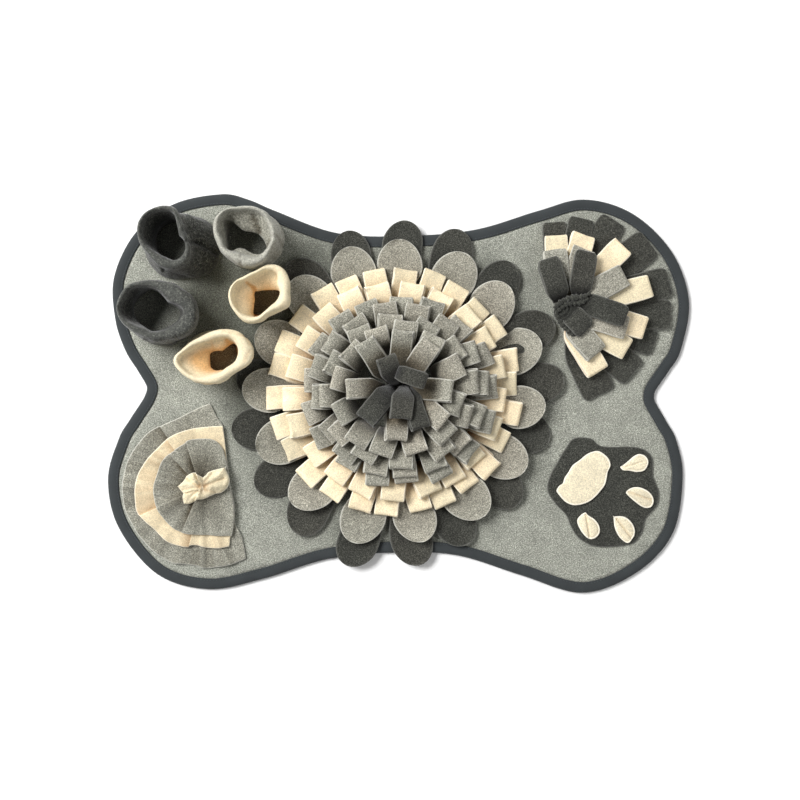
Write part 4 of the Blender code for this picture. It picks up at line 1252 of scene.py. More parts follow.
def make_cup(name, cup, seed):
    """A soft tube with a turned-down cuff, its rim rolled over and its inside bulging; painted
    shade darkens its creases and its inside, and a painted highlight pales the top of its rim.
    """
    high, roll_z = cup["high"], CUP_ROLL_AT * cup["high"]
    foot, rim, throat = (Vector((*cup[key], 0.0)) for key in ("foot", "rim", "throat"))
    ways = [2 * math.pi * i / CUP_SIDES for i in range(CUP_SIDES)]
    feet, rims, openings, throats = (
        [round_value(cup[key + "_radii"], math.degrees(way)) for way in ways]
        for key in ("foot", "rim", "opening", "throat")
    )
    cloth = Cloth()
    rings, mouth = [], []

    def sway(way, size, change):
        """Noise on a small circle, so that it meets itself after a turn round the cup."""
        spot = Vector((size * math.cos(way), size * math.sin(way), 0.0))
        return wave_at(spot, 1.0, seed + change)

    def add(centre, radii, levels, cut, dent):
        points, folds = [], []
        for way, radius, level in zip(ways, radii, levels):
            point = polar(centre, radius, way, ON_PAD + level)
            away = Vector((math.cos(way), math.sin(way), 0.0))
            push = dent * (wave_at(point, 17.0, seed) + 0.5 * wave_at(point, 7.0, seed + 1))
            push += 0.16 * wave_at(point, 2.6, seed + 3)
            fold = crease_depth(cup["creases"], point.x - rim.x, point.y - rim.y)
            # creases are darkened with painted shade
            folds.append(min(0.3 * fold, 0.8))
            point += away * (push + (0.5 if mouth else -0.8) * fold)
            points.append(point + Vector((0.0, 0.0, -0.35 * fold)))
        # inside, painted shade grows with the distance in from the mouth
        for i, start in enumerate(mouth):
            sunk = max((points[i] - start).length - 3.0, 0.0) / cup["sunk"]
            folds[i] = min(folds[i] + sunk, 1.0)
        rings.append(cloth.ring(points, cut=cut, deep=folds))
        return points

    for part, outward, cut in smooth_line(CUP_OUTSIDE, closed=False, pieces=2):
        turned = ease(part / 0.85)
        if outward > 1.0 or cut:
            outward, cut = outward * cup["cuff"], cut * cup["cuff"]
        radii = [low + (top - CUFF_OUT - low) * turned + outward for low, top in zip(feet, rims)]
        cuff_end = math.exp(-(((part - CUFF_AT) / 0.07) ** 2))
        levels = [part * high + 2.4 * sway(way, 1.4, 4) * cuff_end for way in ways]
        dent = 1.3 * math.sin(math.pi * min(max(part, 0.0) / 0.8, 1.0)) + 0.2
        add(foot.lerp(rim, turned), radii, levels, min(max(cut, 0.0), 1.0), dent)
    for k in range(1, CUP_ROLL):
        turn = math.pi * k / CUP_ROLL
        radii = [(a + b) / 2 + (a - b) / 2 * math.cos(turn) for a, b in zip(rims, openings)]
        rises = [high - roll_z + 1.6 * sway(way, 0.9, 6) for way in ways]
        levels = [roll_z + rise * math.sin(turn) for rise in rises]
        # the top of the roll is paler in flecks: a painted highlight
        last = add(rim, radii, levels, 0.32 * math.sin(turn), 0.25)
    mouth.extend(last)
    for k in range(1, CUP_INSIDE + 1):
        part = CUP_ROLL_AT * (1 - k / CUP_INSIDE)
        upper = ease((part - cup["throat_at"]) / (CUP_ROLL_AT - cup["throat_at"]))
        lower = ease(part / cup["throat_at"])
        radii = []
        for outer, narrow, opening in zip(feet, throats, openings):
            floor = outer - CUP_WALL
            below = floor + (narrow - floor) * lower
            radii.append(below + (opening - below) * upper)
        centre = foot.lerp(throat, lower).lerp(rim, upper)
        add(centre, radii, [part * high] * CUP_SIDES, 0.0, 0.5)
    cloth.chain(rings + rings[:1])
    made = cloth.make(name + "_cloth", cloth_of(cup["cloth"] + "_nap"))
    placed(made, "fleece_" + cup["cloth"], name)
    girth = sum(rims) / CUP_SIDES * 2 * math.pi * MM


# ---- fan ---------------------------------------------------------------------------------

FAN = Vector((179.0, 92.0, 0.0))
FAN_FLAPS = (
    # angle in degrees, reach
    (-64, 104), (-40, 108), (-19, 112), (-2, 124), (15, 126), (37, 126), (59, 118), (76, 106),
    (93, 99),
)
FLAP_ROOT = 14.0  # distance of the flaps' roots from the fan's middle
FAN_STRIPS = {
    # cloth, heights of the roots and of the ends, width of the roots, how much narrower than
    # the flower's its strips are, roundness of the corners, then for each strip: root x and y
    # and end x and y from the fan's middle, sideways bend
    "fan_loops_cream": (
        "cream", 2.4, 9.0, 8.0, 0.0, 0.3,
        (
            (8, -13, 43, -69, 0.0), (13, -8, 75, -45, 0.02), (15, 3, 97, -17, -0.08),
            (14, 4, 102, 28, 0.0), (10, 11, 71, 73, 0.0), (5, 14, 27, 85, 0.0),
            (-1, 15, -5, 83, 0.0),
        ),
    ),
    "fan_loops_grey": (
        "grey", 5.8, 16.0, 8.0, 0.0, 0.3,
        (
            (9, -12, 39, -48, 0.0), (14, -3, 73, -19, -0.04), (13, 8, 70, 39, 0.0),
            (6, 14, 26, 68, 0.0), (-1, 15, -7, 66, 0.0),
        ),
    ),
    "fan_loops_dark": (
        "dark", 9.2, 23.0, 14.0, 1.0, 1.8,
        (
            (8, -3, 26, -22, 0.0), (20, 8, 71, -8, -0.03), (19, 15, 27, 64, 0.0),
            (-2, 11, -14, 55, 0.04),
        ),
    ),
}
FAN_SEAMS = (
    # points of the gathered seam's rows, from the fan's middle
    ((31, 18), (24, 14), (14, 13), (5, 11), (-3, 7), (-9, 1)),
    ((29, 12), (21, 8), (12, 7), (5, 6), (-1, 2), (-6, -4)),
    ((-6, -3), (-4, -10), (1, -17), (7, -23), (13, -27), (19, -26)),
    ((0, -8), (4, -14), (10, -20), (16, -22)),
)
FAN_PATCH = (
    # x and y from the fan's middle, of the cloth gathered under the seams
    (29, 14), (20, 12), (8, 9), (-5, 4), (-8, -4), (-4, -12), (4, -20), (13, -24), (20, -20),
    (22, -10), (26, 2),
)


def cut_flap(run, root_wide, wide, chance):
    """One flat flap of the fan's lowest cloth, with soft corners."""
    cup = chance.uniform(-0.3, 1.0)
    tip = chance.uniform(0.4, 2.4)
    side, up = Vector((0.0, 1.0, 0.0)), Vector((0.0, 0.0, 1.0))
    stations = []
    for part in (1 - (1 - k / 22) ** 1.6 for k in range(23)):
        corner = max(0.0, (part - 0.92) / 0.08)
        breadth = root_wide + (wide - root_wide) * ease(part / 0.5)
        breadth *= 0.74 + 0.26 * math.sqrt(max(1 - corner * corner, 0.0))
        z = 1.3 + tip * part**2 + 0.8 * math.sin(3.1 * part + cup)
        # painted shade, darkest at the root
        free, deep = ease(part * 1.5), 1 - ease(part / 0.8)
        stations.append((Vector((run * part, 0.0, z)), side, up, breadth, cup, free, deep))
    cloth = Cloth()
    # the end is pale like a cut edge, partly a painted highlight
    ribbon(cloth, stations, fleece_thick(), across=8, end_cut=1.0)
    return cloth


def make_flaps():
    """The fan's lowest cloth: flat flaps side by side, slit apart."""
    seed = 31
    chance = random.Random(seed)
    strips, roots = [], []
    for degrees, reach in FAN_FLAPS:
        half = min(abs(degrees - other) for other, _ in FAN_FLAPS if other != degrees)
        half = math.radians(half) / 2
        wide = min(38.0, 2 * reach * 0.97 * math.tan(half) - 1.5)
        root_wide = 2 * 17 * math.tan(half) - 0.8
        strips.append(cut_flap(reach - FLAP_ROOT, root_wide, wide, chance))
        angle = math.radians(degrees)
        roots.append((polar(FAN, FLAP_ROOT, angle, ON_PAD), angle))
    made = lay_strips("fan_flaps", roots, strips, "dark", seed, wave=0.8)
    placed(made, "fleece_dark", "fan_flaps_dark")


def cut_fan_strip(run, root, end, root_wide, wide, bend, chance, opening, corner=0.4):
    """One folded strip of the fan, gathered at its root."""
    knots = ((0.0, root), (0.10 * run, end + 3.0), (0.45 * run, end + 2.0), (run, end))
    path = fold_path(knots, lambda t: (1.2 + 1.5 * ease(t * 1.3)) * opening, last=0.965, ups=18)

    def breadth_at(x, t):
        tapered = root_wide + (wide - root_wide) * ease((t - 0.02) / 0.42)
        return tapered - 2 * corner * ease((t - 0.9) / 0.1)

    cloth = Cloth()
    slip, crown = chance.uniform(-1.2, 1.2), chance.uniform(0.1, 0.9)
    stations = fold_stations(path, slip, 0.0, breadth_at, crown, (0.1, 0.5), 0.9 + corner)
    cloth.long = ribbon(cloth, stations, fleece_thick())
    turned_strip(cloth, run, chance.uniform(-0.13, 0.13), bend)
    return cloth


def make_fan_strips(name, cloth_name, root_z, end_z, root_wide, taken_in, corner, rows, seed):
    """One layer of the fan's folded strips."""
    wide = strip_wide()
    chance = random.Random(seed)
    strips, roots = [], []
    for root_x, root_y, end_x, end_y, bend in rows:
        start = Vector((root_x, root_y, 0.0))
        run = Vector((end_x, end_y, 0.0)) - start
        opening = chance.uniform(0.85, 1.15)
        shape = (end_z - root_z, root_wide, wide - taken_in, bend, chance, opening, corner)
        strips.append(cut_fan_strip(run.length, 2.5, *shape))
        place = FAN + start + Vector((0.0, 0.0, ON_PAD + root_z))
        roots.append((place, math.atan2(run.y, run.x)))
    made = lay_strips(name + "_cloth", roots, strips, cloth_name, seed)
    placed(made, "fleece_" + cloth_name, name)


def make_seams():
    """The rolled, gathered seams that hold the roots of the fan, and the cloth under them."""
    cloth = Cloth()
    for k, line in enumerate(FAN_SEAMS):
        path = drawn(line, 0.9, closed=False)
        last = len(path) - 1
        rings = []
        for i, point in enumerate(path):
            along = (path[min(i + 1, last)] - path[max(i - 1, 0)]).normalized()
            side = Vector((-along.y, along.x, 0.0))
            gather = 1 + 0.24 * math.sin(i * 1.15) + 0.35 * wave_at(point, 5.0, 50 + k)
            thick = 2.9 * gather * math.sin(math.pi * (0.06 + 0.88 * i / last)) ** 0.35
            z = PAD_TOP + 26.5 - 2.0 * k + 1.6 * wave_at(point, 9.0, 60 + k)
            middle = FAN + point + Vector((0, 0, z))
            ring = []
            for turn in (2 * math.pi * j / 12 for j in range(12)):
                up = Vector((0, 0, thick * 0.8 * math.sin(turn)))
                ring.append(middle + side * (thick * math.cos(turn)) + up)
            rings.append(cloth.ring(ring))
        cloth.tube(rings)
    base = PAD_TOP + 17.0

    def top_of(spot, part):
        gather = 0.9 * math.sin(1.3 * (spot - FAN).length) + 1.2 * wave_at(spot, 6.0, 58)
        return base + 2.0 + (5.0 + gather) * (1 - part**4)

    patch = [FAN + p for p in drawn(FAN_PATCH, 1.2)]
    middle = FAN + Vector((8, -4, 0))
    # the cloth under the seams is darkened all over with painted shade
    surfaces = (top_of, lambda spot: base, lambda spot, part: (0.0, 0.55))
    rounded_patch(cloth, patch, middle, *surfaces, rings=14)
    made = cloth.make("fan_seams", cloth_of("dark"))
    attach(made, "root")


# ---- skirt -------------------------------------------------------------------------------

SKIRT = Vector((-217.0, -103.0, 0.0))
SKIRT_CLOTH = 1.8
SKIRT_AIR = 0.7
# how far painted shade darkens a cloth at its gather, all over, and by its pleats
SKIRT_PAINTED_SHADE = {"grey": (0.85, 0.0, 1.0), "cream": (0.45, 0.18, 0.55)}
SKIRT_LAYERS = {
    "skirt_grey_outer": {
        "cloth": "grey", "crown": 2.6,
        "flat_to": 0.3,  # share of the reach at which its folds begin
        "edge": (
            # x and y from the skirt's middle, with the corners given twice
            (29, 3), (27, 21), (24, 44), (21.5, 66), (15, 76), (8, 90), (4, 91), (-12, 84),
            (-27, 76), (-44, 69), (-55, 64), (-66, 56), (-82, 34), (-88, 19), (-91, -3),
            (-88, -27), (-79, -44), (-71, -57), (-57, -72), (-38, -85), (-25, -87), (-10, -89),
            (2, -92), (16, -90.5), (31, -87.5), (47, -81), (47, -81), (45, -68), (41.5, -54),
            (35, -42), (34, -20),
        ),
        "pleats": (
            # angle in degrees, degrees over which its high side falls away, height, share
            # kept at the edge
            (125, -32, 3.4, 1.0),
        ),
        "folds": (
            # angle in degrees, half its width in degrees, height
            (108, 9, 1.6), (140, 8, -1.6), (152, 8, 2.6), (165, 8, -1.6), (179, 9, 2.6),
            (193, 8, -1.5), (212, 12, 2.2), (233, 10, 2.4), (252, 8, 2.0), (263, 6, -2.0),
            (269, 5, 1.8), (275, 5, -1.8), (287, 9, 2.8),
        ),
    },
    "skirt_cream": {
        "cloth": "cream", "crown": 2.4, "flat_to": 0.3,
        "edge": (
            (29, 3), (26, 21), (25, 40), (21.5, 67), (21.5, 67), (5, 66), (-16, 63), (-38, 54),
            (-55, 38), (-69, 21), (-75, 6), (-76, -16), (-73, -31), (-58, -45), (-40, -62),
            (-25, -67), (-16, -68), (-8, -66), (5, -69), (18, -69), (29, -67), (29, -67),
            (30, -55), (32, -34),
        ),
        "pleats": (
            (124, -26, 2.2, 1.0), (206, 26, 2.4, 0.9), (258, 18, 1.4, 1.0),
        ),
        "folds": (
            (150, 12, 3.4), (169, 11, -1.4), (187, 12, 3.0), (284, 9, 1.8),
        ),
    },
    "skirt_grey_inner": {
        "cloth": "grey", "crown": 2.4, "flat_to": 0.0,
        "edge": (
            (30, -1), (28, 16), (25, 31), (21, 43), (10, 52), (-12, 52), (-21, 47), (-34, 38),
            (-43, 31), (-50, 16), (-55, -1), (-53, -19), (-45, -34), (-36, -44), (-29, -49),
            (-16, -53), (3, -54), (20, -55), (32, -55), (32, -55), (34, -42), (34, -20),
        ),
        "pleats": (
            (136, -25, 6.5, 0.40), (110, -34, 7.5, 0.40), (246, 40, 6.5, 0.45),
        ),
        "folds": (
            (160, 14, 1.9), (181, 9, -1.2), (205, 15, 2.0),
        ),
    },
}
BOW_LOBES = (
    # lift, then the outline from the skirt's middle (a corner is given twice), then creases:
    # from x, y to x, y, depth (a ridge stands up instead), half width
    (
        0.4,
        (
            (7, -2), (2, 1), (-6, -1), (-14, -5), (-20, -7), (-21, -12.5), (-20, -19), (-20, -19),
            (-16, -19.5), (-11, -18), (-4, -14), (2, -13.5), (8, -10.5),
        ),
        (
            (-3, -3, -15, -15, 1.2, 1.5), (-8, -5, -19, -9, 0.9, 1.5),
            (-16, -15, -5, -9, -1.2, 2.2),
        ),
    ),
    (
        2.6,
        (
            (3, 9), (5, 2), (2, -5), (-6, -4), (-13, -6), (-20, -7), (-27, 0), (-27, 0),
            (-20, 6.5), (-16.5, 12), (-12, 14.5), (-7.5, 16), (-4, 14), (-1, 12),
        ),
        (
            (-2, 1, -17, 9, 1.6, 1.5), (-2, 0, -20, -3, 1.1, 1.6), (-1, 3, -5, 13, 1.3, 1.3),
            (-20, 3, -10, 4, -1.2, 2.2), (-11, 12, -5, 6, -1.0, 2.0),
        ),
    ),
    (
        3.2,
        (
            (2, 10), (5, 13), (8, 16.5), (16, 19), (24.5, 21), (24.5, 21), (27.5, 15), (30, 8),
            (29, 2), (27, -2), (21, -7), (15, -8), (10, -10), (6, -11), (3, -8), (1, 0),
        ),
        (
            (3, 1, 24, 9, 1.3, 1.6), (4, -3, 15, -6, 1.0, 1.5), (4, 6, 12, 15, 1.2, 1.5),
            (12, 9, 22, 15, -1.4, 3.0), (12, 0, 25, 2, -1.3, 2.6),
        ),
    ),
)


@functools.lru_cache
def skirt_reach(name):
    """How far a skirt layer reaches in each whole degree round its middle."""
    line = drawn(SKIRT_LAYERS[name]["edge"], 0.8)
    seen = sorted((math.degrees(math.atan2(p.y, p.x)) % 360, p.length) for p in line)
    seen = [(seen[-1][0] - 360, seen[-1][1]), *seen, (seen[0][0] + 360, seen[0][1])]
    return [read_table(seen, degrees) for degrees in range(361)]


def reach_at(name, degrees):
    """How far a skirt layer reaches at any angle."""
    whole, part = divmod(degrees % 360, 1)
    before, after = skirt_reach(name)[int(whole) : int(whole) + 2]
    return before * (1 - part) + after * part


def pleated(layer, degrees, out):
    """How high a layer's pleats stand in a place, how they lean, and how much painted shade it
    gets by them.
    """
    high = lean = deep = 0.0
    for at, fall, tall, kept in layer["pleats"]:
        away = ((degrees - at + 180) % 360 - 180) * math.copysign(1.0, fall)
        along = ease(out / 0.3) * (1 - (1 - kept) * ease((out - 0.45) / 0.55))
        bump = ease((away + 1.8) / 3.6) * (1 - ease(away / abs(fall))) * along
        high += tall * bump
        lean -= math.copysign(2.8, fall) * bump * (1 - ease(away / 9.0))
        # painted shade in the groove beside each pleat
        if -14 < away < 1:
            deep += along * (1 + (away - 1) / 15)
    for at, half, tall in layer["folds"]:
        away = (degrees - at + 180) % 360 - 180
        if abs(away) < half:
            turn = math.pi * away / half
            bump = (0.5 + 0.5 * math.cos(turn)) * ease((out - layer["flat_to"]) / 0.7)
            high += tall * bump
            # painted shade in the hollow folds and on the flanks of every fold
            deep += (max(-tall, 0.0) * 0.14 + abs(0.16 * tall * math.sin(turn))) * bump
    return high, lean, deep


def skirt_height(order, degrees, radius):
    """The height of a layer's underside over the pad, its lean in degrees and how much painted
    shade darkens it.
    """
    high, over, least = REST + 0.4, 0.0, REST
    for k, name in enumerate(list(SKIRT_LAYERS)[: order + 1]):
        layer = SKIRT_LAYERS[name]
        out = min(radius / reach_at(name, degrees), 1.0)
        tall, lean, sunk = pleated(layer, degrees, out)
        high = max(high + layer["crown"] * (1 - out) ** 2 + tall * 0.85, least)
        least = high + SKIRT_CLOTH + 0.2
        if k < order:
            high += SKIRT_CLOTH + SKIRT_AIR
        over += lean * ease(out / 0.4)
    # painted shade at the gather, strongest towards 150 degrees and fading out from a quarter of
    # the reach; all over; and by the pleats
    near, base, beside = SKIRT_PAINTED_SHADE[layer["cloth"]]
    near *= (0.7 + 0.3 * math.cos(math.radians(degrees - 150))) * (1 - ease((out - 0.25) / 0.75))
    return high, over, min(near + base + sunk * beside, 1.0)


def make_skirt_layer(order, name):
    """A half-round sheet gathered at the bow, with its folds running out to its edge."""
    cloth_name = SKIRT_LAYERS[name]["cloth"]
    cloth = Cloth()
    sides, steps = 360, 24
    sheets = []
    for lift, side in ((0.0, -1), (SKIRT_CLOTH, 1)):
        middle = PAD_TOP + skirt_height(order, 0.0, 0.0)[0] + lift
        # the gathered middle carries full painted shade
        rings = [cloth.ring([Vector((SKIRT.x, SKIRT.y, middle))], [(0.0, 0.0)], deep=1.0)]
        for k in range(1, steps + 1):
            share_out = 1 - (1 - k / steps) ** 1.3
            rounded = 0.35 if k == steps else 0.0
            points, uvs, sunk = [], [], []
            for degrees in (360 * i / sides for i in range(sides)):
                radius = share_out * reach_at(name, degrees) - rounded
                height, lean, deep = skirt_height(order, degrees, radius)
                turn = math.radians(degrees + lean)
                spot = (radius * math.cos(turn), radius * math.sin(turn), 0.0)
                flutter = 0.7 * wave_at(spot, 15.0, 40 + order)
                flutter += 0.3 * wave_at(spot, 6.0, 44 + order)
                z = PAD_TOP + height + lift - rounded * side + flutter * ease(share_out * 1.5)
                points.append(polar(SKIRT, radius, turn, max(z, PAD_TOP + 0.2 + lift)))
                uvs.append((spot[0] * MM, spot[1] * MM))
                sunk.append(deep)
            # the outermost ring is pale, partly a painted highlight; sunk is the painted shade
            rings.append(cloth.ring(points, uvs, cut=0.8 if k == steps else 0.0, deep=sunk))
        cloth.chain(rings)
        sheets.append(rings[-1])
    edge = []
    for low, top in zip(*sheets):
        low, top = cloth.points[low], cloth.points[top]
        away = Vector((low.x - SKIRT.x, low.y - SKIRT.y, 0.0)).normalized()
        edge.append((low + top) / 2 + away * 0.4)
    # the rounded edge is pale, partly a painted highlight
    cloth.chain([sheets[0], cloth.ring(edge, cut=0.8), sheets[1]])
    made = cloth.make(name + "_cloth", cloth_of(cloth_name))
    placed(made, "fleece_" + cloth_name, name)
    outline = [polar(SKIRT, reach_at(name, 3 * i), math.radians(3 * i)) for i in range(120)]
    flat = across(outline)


BOW_WAIST = Vector((2.5, 0.0, 0.0))  # where its lobes are drawn together, from the skirt's middle


def make_bow():
    """The cream bow: three soft lobes drawn together in its middle, one over the other."""
    last = len(SKIRT_LAYERS) - 1
    seat = PAD_TOP + SKIRT_CLOTH + 1.0
    cloth = Cloth()
    for lift, corners, creases in BOW_LOBES:
        outline = [SKIRT + p for p in drawn(corners, 1.0)]
        middle = sum(outline, Vector()) / len(outline)

        def low_of(spot, lift=lift):
            away = spot - SKIRT
            turn = math.degrees(math.atan2(away.y, away.x))
            far = math.hypot(away.x, away.y)
            return seat + skirt_height(last, turn, far)[0] + lift * (1 - ease(far / 30) * 0.8)

        def top_of(spot, part, creases=creases, low_of=low_of):
            away = spot - SKIRT
            fold = crease_depth(creases, away.x, away.y)
            fold += 3.0 * math.exp(-(((away - BOW_WAIST).length / 4.5) ** 2))
            puff = 3.4 * math.sqrt(max(1 - part**10, 0.0)) + 1.6 * (1 - part**2) + 0.8
            puff += 0.8 * wave_at(spot, 8.0, 71) + 0.4 * wave_at(spot, 3.6, 72)
            return low_of(spot) + max(puff - fold, 1.3)

        def marks_of(spot, part, creases=creases):
            away = spot - SKIRT
            dip = crease_depth(creases, away.x, away.y)
            near = math.exp(-(((away - BOW_WAIST).length / 6) ** 2))
            # a pale edge, partly a painted highlight; painted shade in the creases and at the
            # waist
            return 0.8 * ease((part - 0.92) / 0.06), min(max(0.26 * dip, 0.0) + 0.5 * near, 0.75)

        rounded_patch(cloth, outline, middle, top_of, low_of, marks_of, rings=20)
    made = cloth.make("bow", cloth_of("cream"))
    placed(made, "fleece_cream", "skirt_bow")


# ---- paw ---------------------------------------------------------------------------------

PAW_CLOTH = 2.0
PAW_PATCH = (
    # x, y
    (196, -50), (214, -50), (228, -59), (266, -60), (282, -70), (284, -92), (290, -109),
    (288, -125), (276, -139), (271, -155), (259, -168), (223, -171), (203, -163), (193, -150),
    (187, -136), (175, -123), (166, -108), (169, -92), (177, -77), (187, -60),
)
PAW_PAD = (
    (221, -64), (228, -67), (234, -73), (236, -80), (233, -87), (232, -93), (230, -101),
    (226, -107), (219, -115), (211, -121), (201, -124), (193, -124), (185, -120), (178, -112),
    (176, -108), (179, -103), (183, -100), (185, -94), (189, -88), (194, -80), (202, -74),
    (211, -67),
)
PAW_TOES = (
    # outline points, then the crease: from x, y to x, y, depth, half width
    (
        (
            (247, -82), (250, -85.5), (257, -86), (265, -87.5), (273, -86), (277, -81),
            (278, -75), (274.5, -69.5), (268, -67.5), (262, -70), (255.5, -75.5), (250, -80),
        ),
        (252, -82, 271, -76, 0.7, 1.1),
    ),
    (
        (
            (253.5, -111), (255.5, -107.5), (262, -104.5), (270, -105), (278, -109), (283, -115),
            (284, -121), (281.5, -126), (276, -127.5), (270, -125.5), (262, -119.5), (257, -115),
        ),
        (256, -109.5, 282, -119, 1.5, 1.1),
    ),
    (
        (
            (239.5, -137), (239.5, -137), (250, -137), (257, -141), (262, -148), (263, -156),
            (259.5, -163), (255.5, -166.5), (250, -164), (244, -157), (240.5, -148),
        ),
        (243, -140, 260, -162, 1.5, 1.1),
    ),
    (
        (
            (208, -132.5), (211, -135.5), (218, -140), (223, -146.5), (224, -154.5),
            (219.5, -160.5), (213, -162), (207, -158), (201.5, -150), (199, -142), (202, -136.5),
        ),
        (208.5, -135, 213, -162, 1.5, 1.1),
    ),
)


def flat_piece(name, cloth_name, outline, bottom, crown, creases=()):
    """A flat cut of cloth with a pale rim, partly a painted highlight, drawn down just inside it,
    and its creases, darkened with painted shade.
    """
    middle = sum(outline, Vector()) / len(outline)
    cream = cloth_name == "cream"
    rim, pale = (1.9, 0.2) if cream else (0.8, 0.0)

    def inward_of(spot, part):
        return (spot - middle).length * (1 / max(part, 0.1) - 1)

    def top_of(spot, part):
        inward = inward_of(spot, part)
        swell = crown * (1 - part**2) + 0.25 * wave_at(spot, 12.0, 81)
        swell += 0.2 * wave_at(spot, 3.5, 82)
        sewn = 0.5 * math.exp(-(((inward - rim) / 0.8) ** 2))
        edge = 0.6 * (1 - ease(inward / 0.7))
        dip = crease_depth(creases, spot.x, spot.y)
        return bottom + max(PAW_CLOTH + swell - sewn - edge - dip, 0.7)

    def marks_of(spot, part):
        # the rim is pale, partly a painted highlight; the creases get painted shade
        cut = 1 - (1 - pale) * ease((inward_of(spot, part) - 0.5 * rim) / (0.6 * rim))
        return cut, min(0.3 * crease_depth(creases, spot.x, spot.y), 0.35)

    cloth = Cloth()
    rounded_patch(cloth, outline, middle, top_of, lambda spot: bottom, marks_of, rings=18)
    made = cloth.make(name + "_cloth", cloth_of("cream_short" if cream else cloth_name))
    placed(made, "fleece_" + cloth_name, name)
    across(outline)


def make_paw():
    """The paw's patch, its pad and its toes, one laid on the other."""
    flat_piece("paw_patch", "dark", drawn(PAW_PATCH, 2.0), ON_PAD, 0.2)
    upper = ON_PAD + PAW_CLOTH + 0.6
    flat_piece("paw_pad", "cream", drawn(PAW_PAD, 1.1), upper, 1.0)
    for i, (outline, crease) in enumerate(PAW_TOES, 1):
        flat_piece(f"paw_toe_{i}", "cream", drawn(outline, 0.8), upper, 1.2, (crease,))


# ---- stage ---------------------------------------------------------------------------


def soft_box(name, place, size, power):
    """A soft box that lights the middle of the mat."""
    light = bpy.data.lights.new(name, "AREA")
    light.shape = "RECTANGLE"
    light.size, light.size_y = size
    light.energy = power
    made = added(name, light)
    made.location = place
    made.rotation_euler = (-Vector(place)).to_track_quat("-Z", "Y").to_euler()


FLOOR_HALF = 6.0  # metres
CAMERA_AT = (0.0017, -0.0073)  # metres from the mat's middle


def make_stage():
    """A pale floor, even light from all round, two soft boxes and the camera overhead."""
    scene = bpy.context.scene
    stage = scene.snuffle_stage
    mesh = bpy.data.meshes.new("floor")
    signs = ((-1, -1), (1, -1), (1, 1), (-1, 1))
    corners = [(x * FLOOR_HALF, y * FLOOR_HALF, 0) for x, y in signs]
    mesh.from_pydata(corners, [], [(0, 1, 2, 3)])
    paint = bpy.data.materials.new("floor_paint")
    paint.use_nodes = True
    shader = paint.node_tree.nodes["Principled BSDF"].inputs
    shader["Base Color"].default_value = (*stage.floor, 1.0)
    shader["Roughness"].default_value = 0.9
    shader["Specular IOR Level"].default_value = 0.1
    mesh.materials.append(paint)
    added("floor", mesh)
    world = bpy.data.worlds.new("room")
    world.use_nodes = True
    w = Wiring(world.node_tree)
    way = w.first("ShaderNodeTexCoord")
    up = w.node("ShaderNodeSeparateXYZ", {"Vector": way}).outputs["Z"]
    values = {"Value": up, "From Min": 0.25, "From Max": 0.95}
    values |= {"To Min": stage.around, "To Max": stage.above}
    sky = world.node_tree.nodes["Background"].inputs
    strength = w.first("ShaderNodeMapRange", values, interpolation_type="SMOOTHSTEP")
    w.link(strength, sky["Strength"])
    sky["Color"].default_value = WHITE
    scene.world = world
    soft_box("soft_box_left", (-2.2, 1.35, 2.4), (2.1, 1.6), stage.key)
    soft_box("soft_box_right", (1.3, -0.3, 1.3), (1.2, 0.9), stage.fill)
    lens = bpy.data.cameras.new("camera")
    lens.sensor_width = 36.0
    lens.lens = stage.lens
    lens.clip_end = 50.0
    scene.camera = added("camera", lens)
    scene.camera.location = (*CAMERA_AT, stage.camera_high)
    scene.view_settings.view_transform = "Standard"


# ---- operators -------------------------------------------------------------------------


class SNUFFLE_OT_stage(bpy.types.Operator):
    """Set up the floor, the soft light and the camera"""

    bl_idname = "snuffle.stage"
    bl_label = "Stage"

    def execute(self, context):
        make_stage()
        return {"FINISHED"}


class SNUFFLE_OT_pad(bpy.types.Operator):
    """Cut the bone-shaped pad"""

    bl_idname = "snuffle.pad"
    bl_label = "Pad"

    def execute(self, context):
        make_pad()
        return {"FINISHED"}


class SNUFFLE_OT_binding(bpy.types.Operator):
    """Bind the pad's edge with tape and stitch it down"""

    bl_idname = "snuffle.binding"
    bl_label = "Binding"

    def execute(self, context):
        make_binding()
        return {"FINISHED"}


class SNUFFLE_OT_petals(bpy.types.Operator):
    """Cut the two rounds of petals and lay them round the flower"""

    bl_idname = "snuffle.petals"
    bl_label = "Petals"

    def execute(self, context):
        flower = context.scene.snuffle_flower
        wide = flower.dark_petal_wide / MM
        make_petals("petals_dark", "dark", DARK_PETALS, 16.0, wide, 2.2, ON_PAD, 21)
        wide = flower.petal_wide / MM
        make_petals("petals_grey", "grey", GREY_PETALS, 18.0, wide, 5.0, ON_PAD + 3.4, 22)
        return {"FINISHED"}


class SNUFFLE_OT_loops(bpy.types.Operator):
    """Fold the strips of the flower and stand them in their rounds"""

    bl_idname = "snuffle.loops"
    bl_label = "Folded strips"

    def execute(self, context):
        for i, row in enumerate(TIERS):
            make_tier(row, TIER_SEED + i)
        for i, (name, row) in enumerate(CROWN.items()):
            make_crown(name, *row, 77 + i)
        return {"FINISHED"}


class SNUFFLE_OT_cups(bpy.types.Operator):
    """Stand the five soft cups at the mat's left"""

    bl_idname = "snuffle.cups"
    bl_label = "Cups"

    def execute(self, context):
        for seed, (name, cup) in enumerate(CUPS.items()):
            make_cup(name, cup, 90 + 10 * seed)
        return {"FINISHED"}


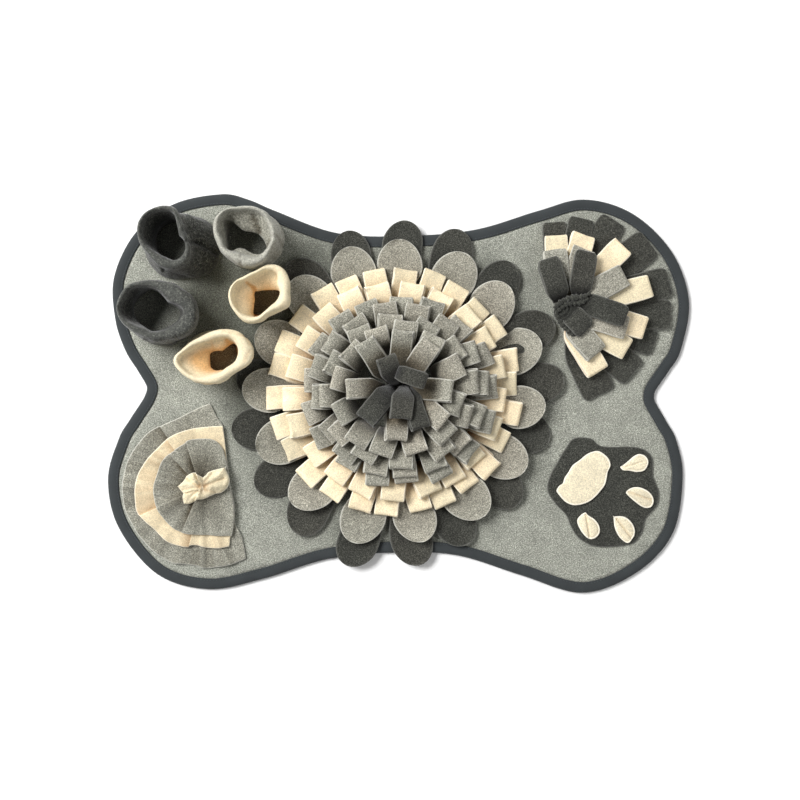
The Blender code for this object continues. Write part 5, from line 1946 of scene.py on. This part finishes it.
class SNUFFLE_OT_fan(bpy.types.Operator):
    """Lay the fan's flaps and folded strips and sew their gathered roots"""

    bl_idname = "snuffle.fan"
    bl_label = "Fan"

    def execute(self, context):
        make_flaps()
        for seed, (name, row) in enumerate(FAN_STRIPS.items()):
            make_fan_strips(name, *row, 41 + seed)
        make_seams()
        return {"FINISHED"}


class SNUFFLE_OT_skirt(bpy.types.Operator):
    """Gather the three sheets of the skirt under its bow"""

    bl_idname = "snuffle.skirt"
    bl_label = "Skirt and bow"

    def execute(self, context):
        for order, name in enumerate(SKIRT_LAYERS):
            make_skirt_layer(order, name)
        make_bow()
        return {"FINISHED"}


class SNUFFLE_OT_paw(bpy.types.Operator):
    """Lay the paw of flat patches"""

    bl_idname = "snuffle.paw"
    bl_label = "Paw"

    def execute(self, context):
        make_paw()
        return {"FINISHED"}


OPERATORS = (
    SNUFFLE_OT_stage,
    SNUFFLE_OT_pad,
    SNUFFLE_OT_binding,
    SNUFFLE_OT_petals,
    SNUFFLE_OT_loops,
    SNUFFLE_OT_cups,
    SNUFFLE_OT_fan,
    SNUFFLE_OT_skirt,
    SNUFFLE_OT_paw,
)


class SNUFFLE_PT_panel(bpy.types.Panel):
    """Sizes, colours and steps of the snuffle mat"""

    bl_idname = "SNUFFLE_PT_panel"
    bl_label = "Snuffle mat"
    bl_space_type = "VIEW_3D"
    bl_region_type = "UI"
    bl_category = "Snuffle mat"

    def draw(self, context):
        for name in GROUPS:
            group = getattr(context.scene, name)
            box = self.layout.box()
            for key in group.__annotations__:
                box.prop(group, key)
        for operator in OPERATORS:
            self.layout.operator(operator.bl_idname)


GROUPS = {
    "snuffle_cloth": SNUFFLE_PG_cloth,
    "snuffle_flower": SNUFFLE_PG_flower,
    "snuffle_stage": SNUFFLE_PG_stage,
}
CLASSES = (*GROUPS.values(), *OPERATORS, SNUFFLE_PT_panel)


def register():
    for made in CLASSES:
        bpy.utils.register_class(made)
    for name, group in GROUPS.items():
        setattr(bpy.types.Scene, name, bpy.props.PointerProperty(type=group))


def unregister():
    for name in GROUPS:
        delattr(bpy.types.Scene, name)
    for made in reversed(CLASSES):
        bpy.utils.unregister_class(made)


def main():
    register()
    for operator in OPERATORS:
        step = operator.bl_idname.split(".")[1]
        getattr(bpy.ops.snuffle, step)()


if __name__ == "__main__":
    main()
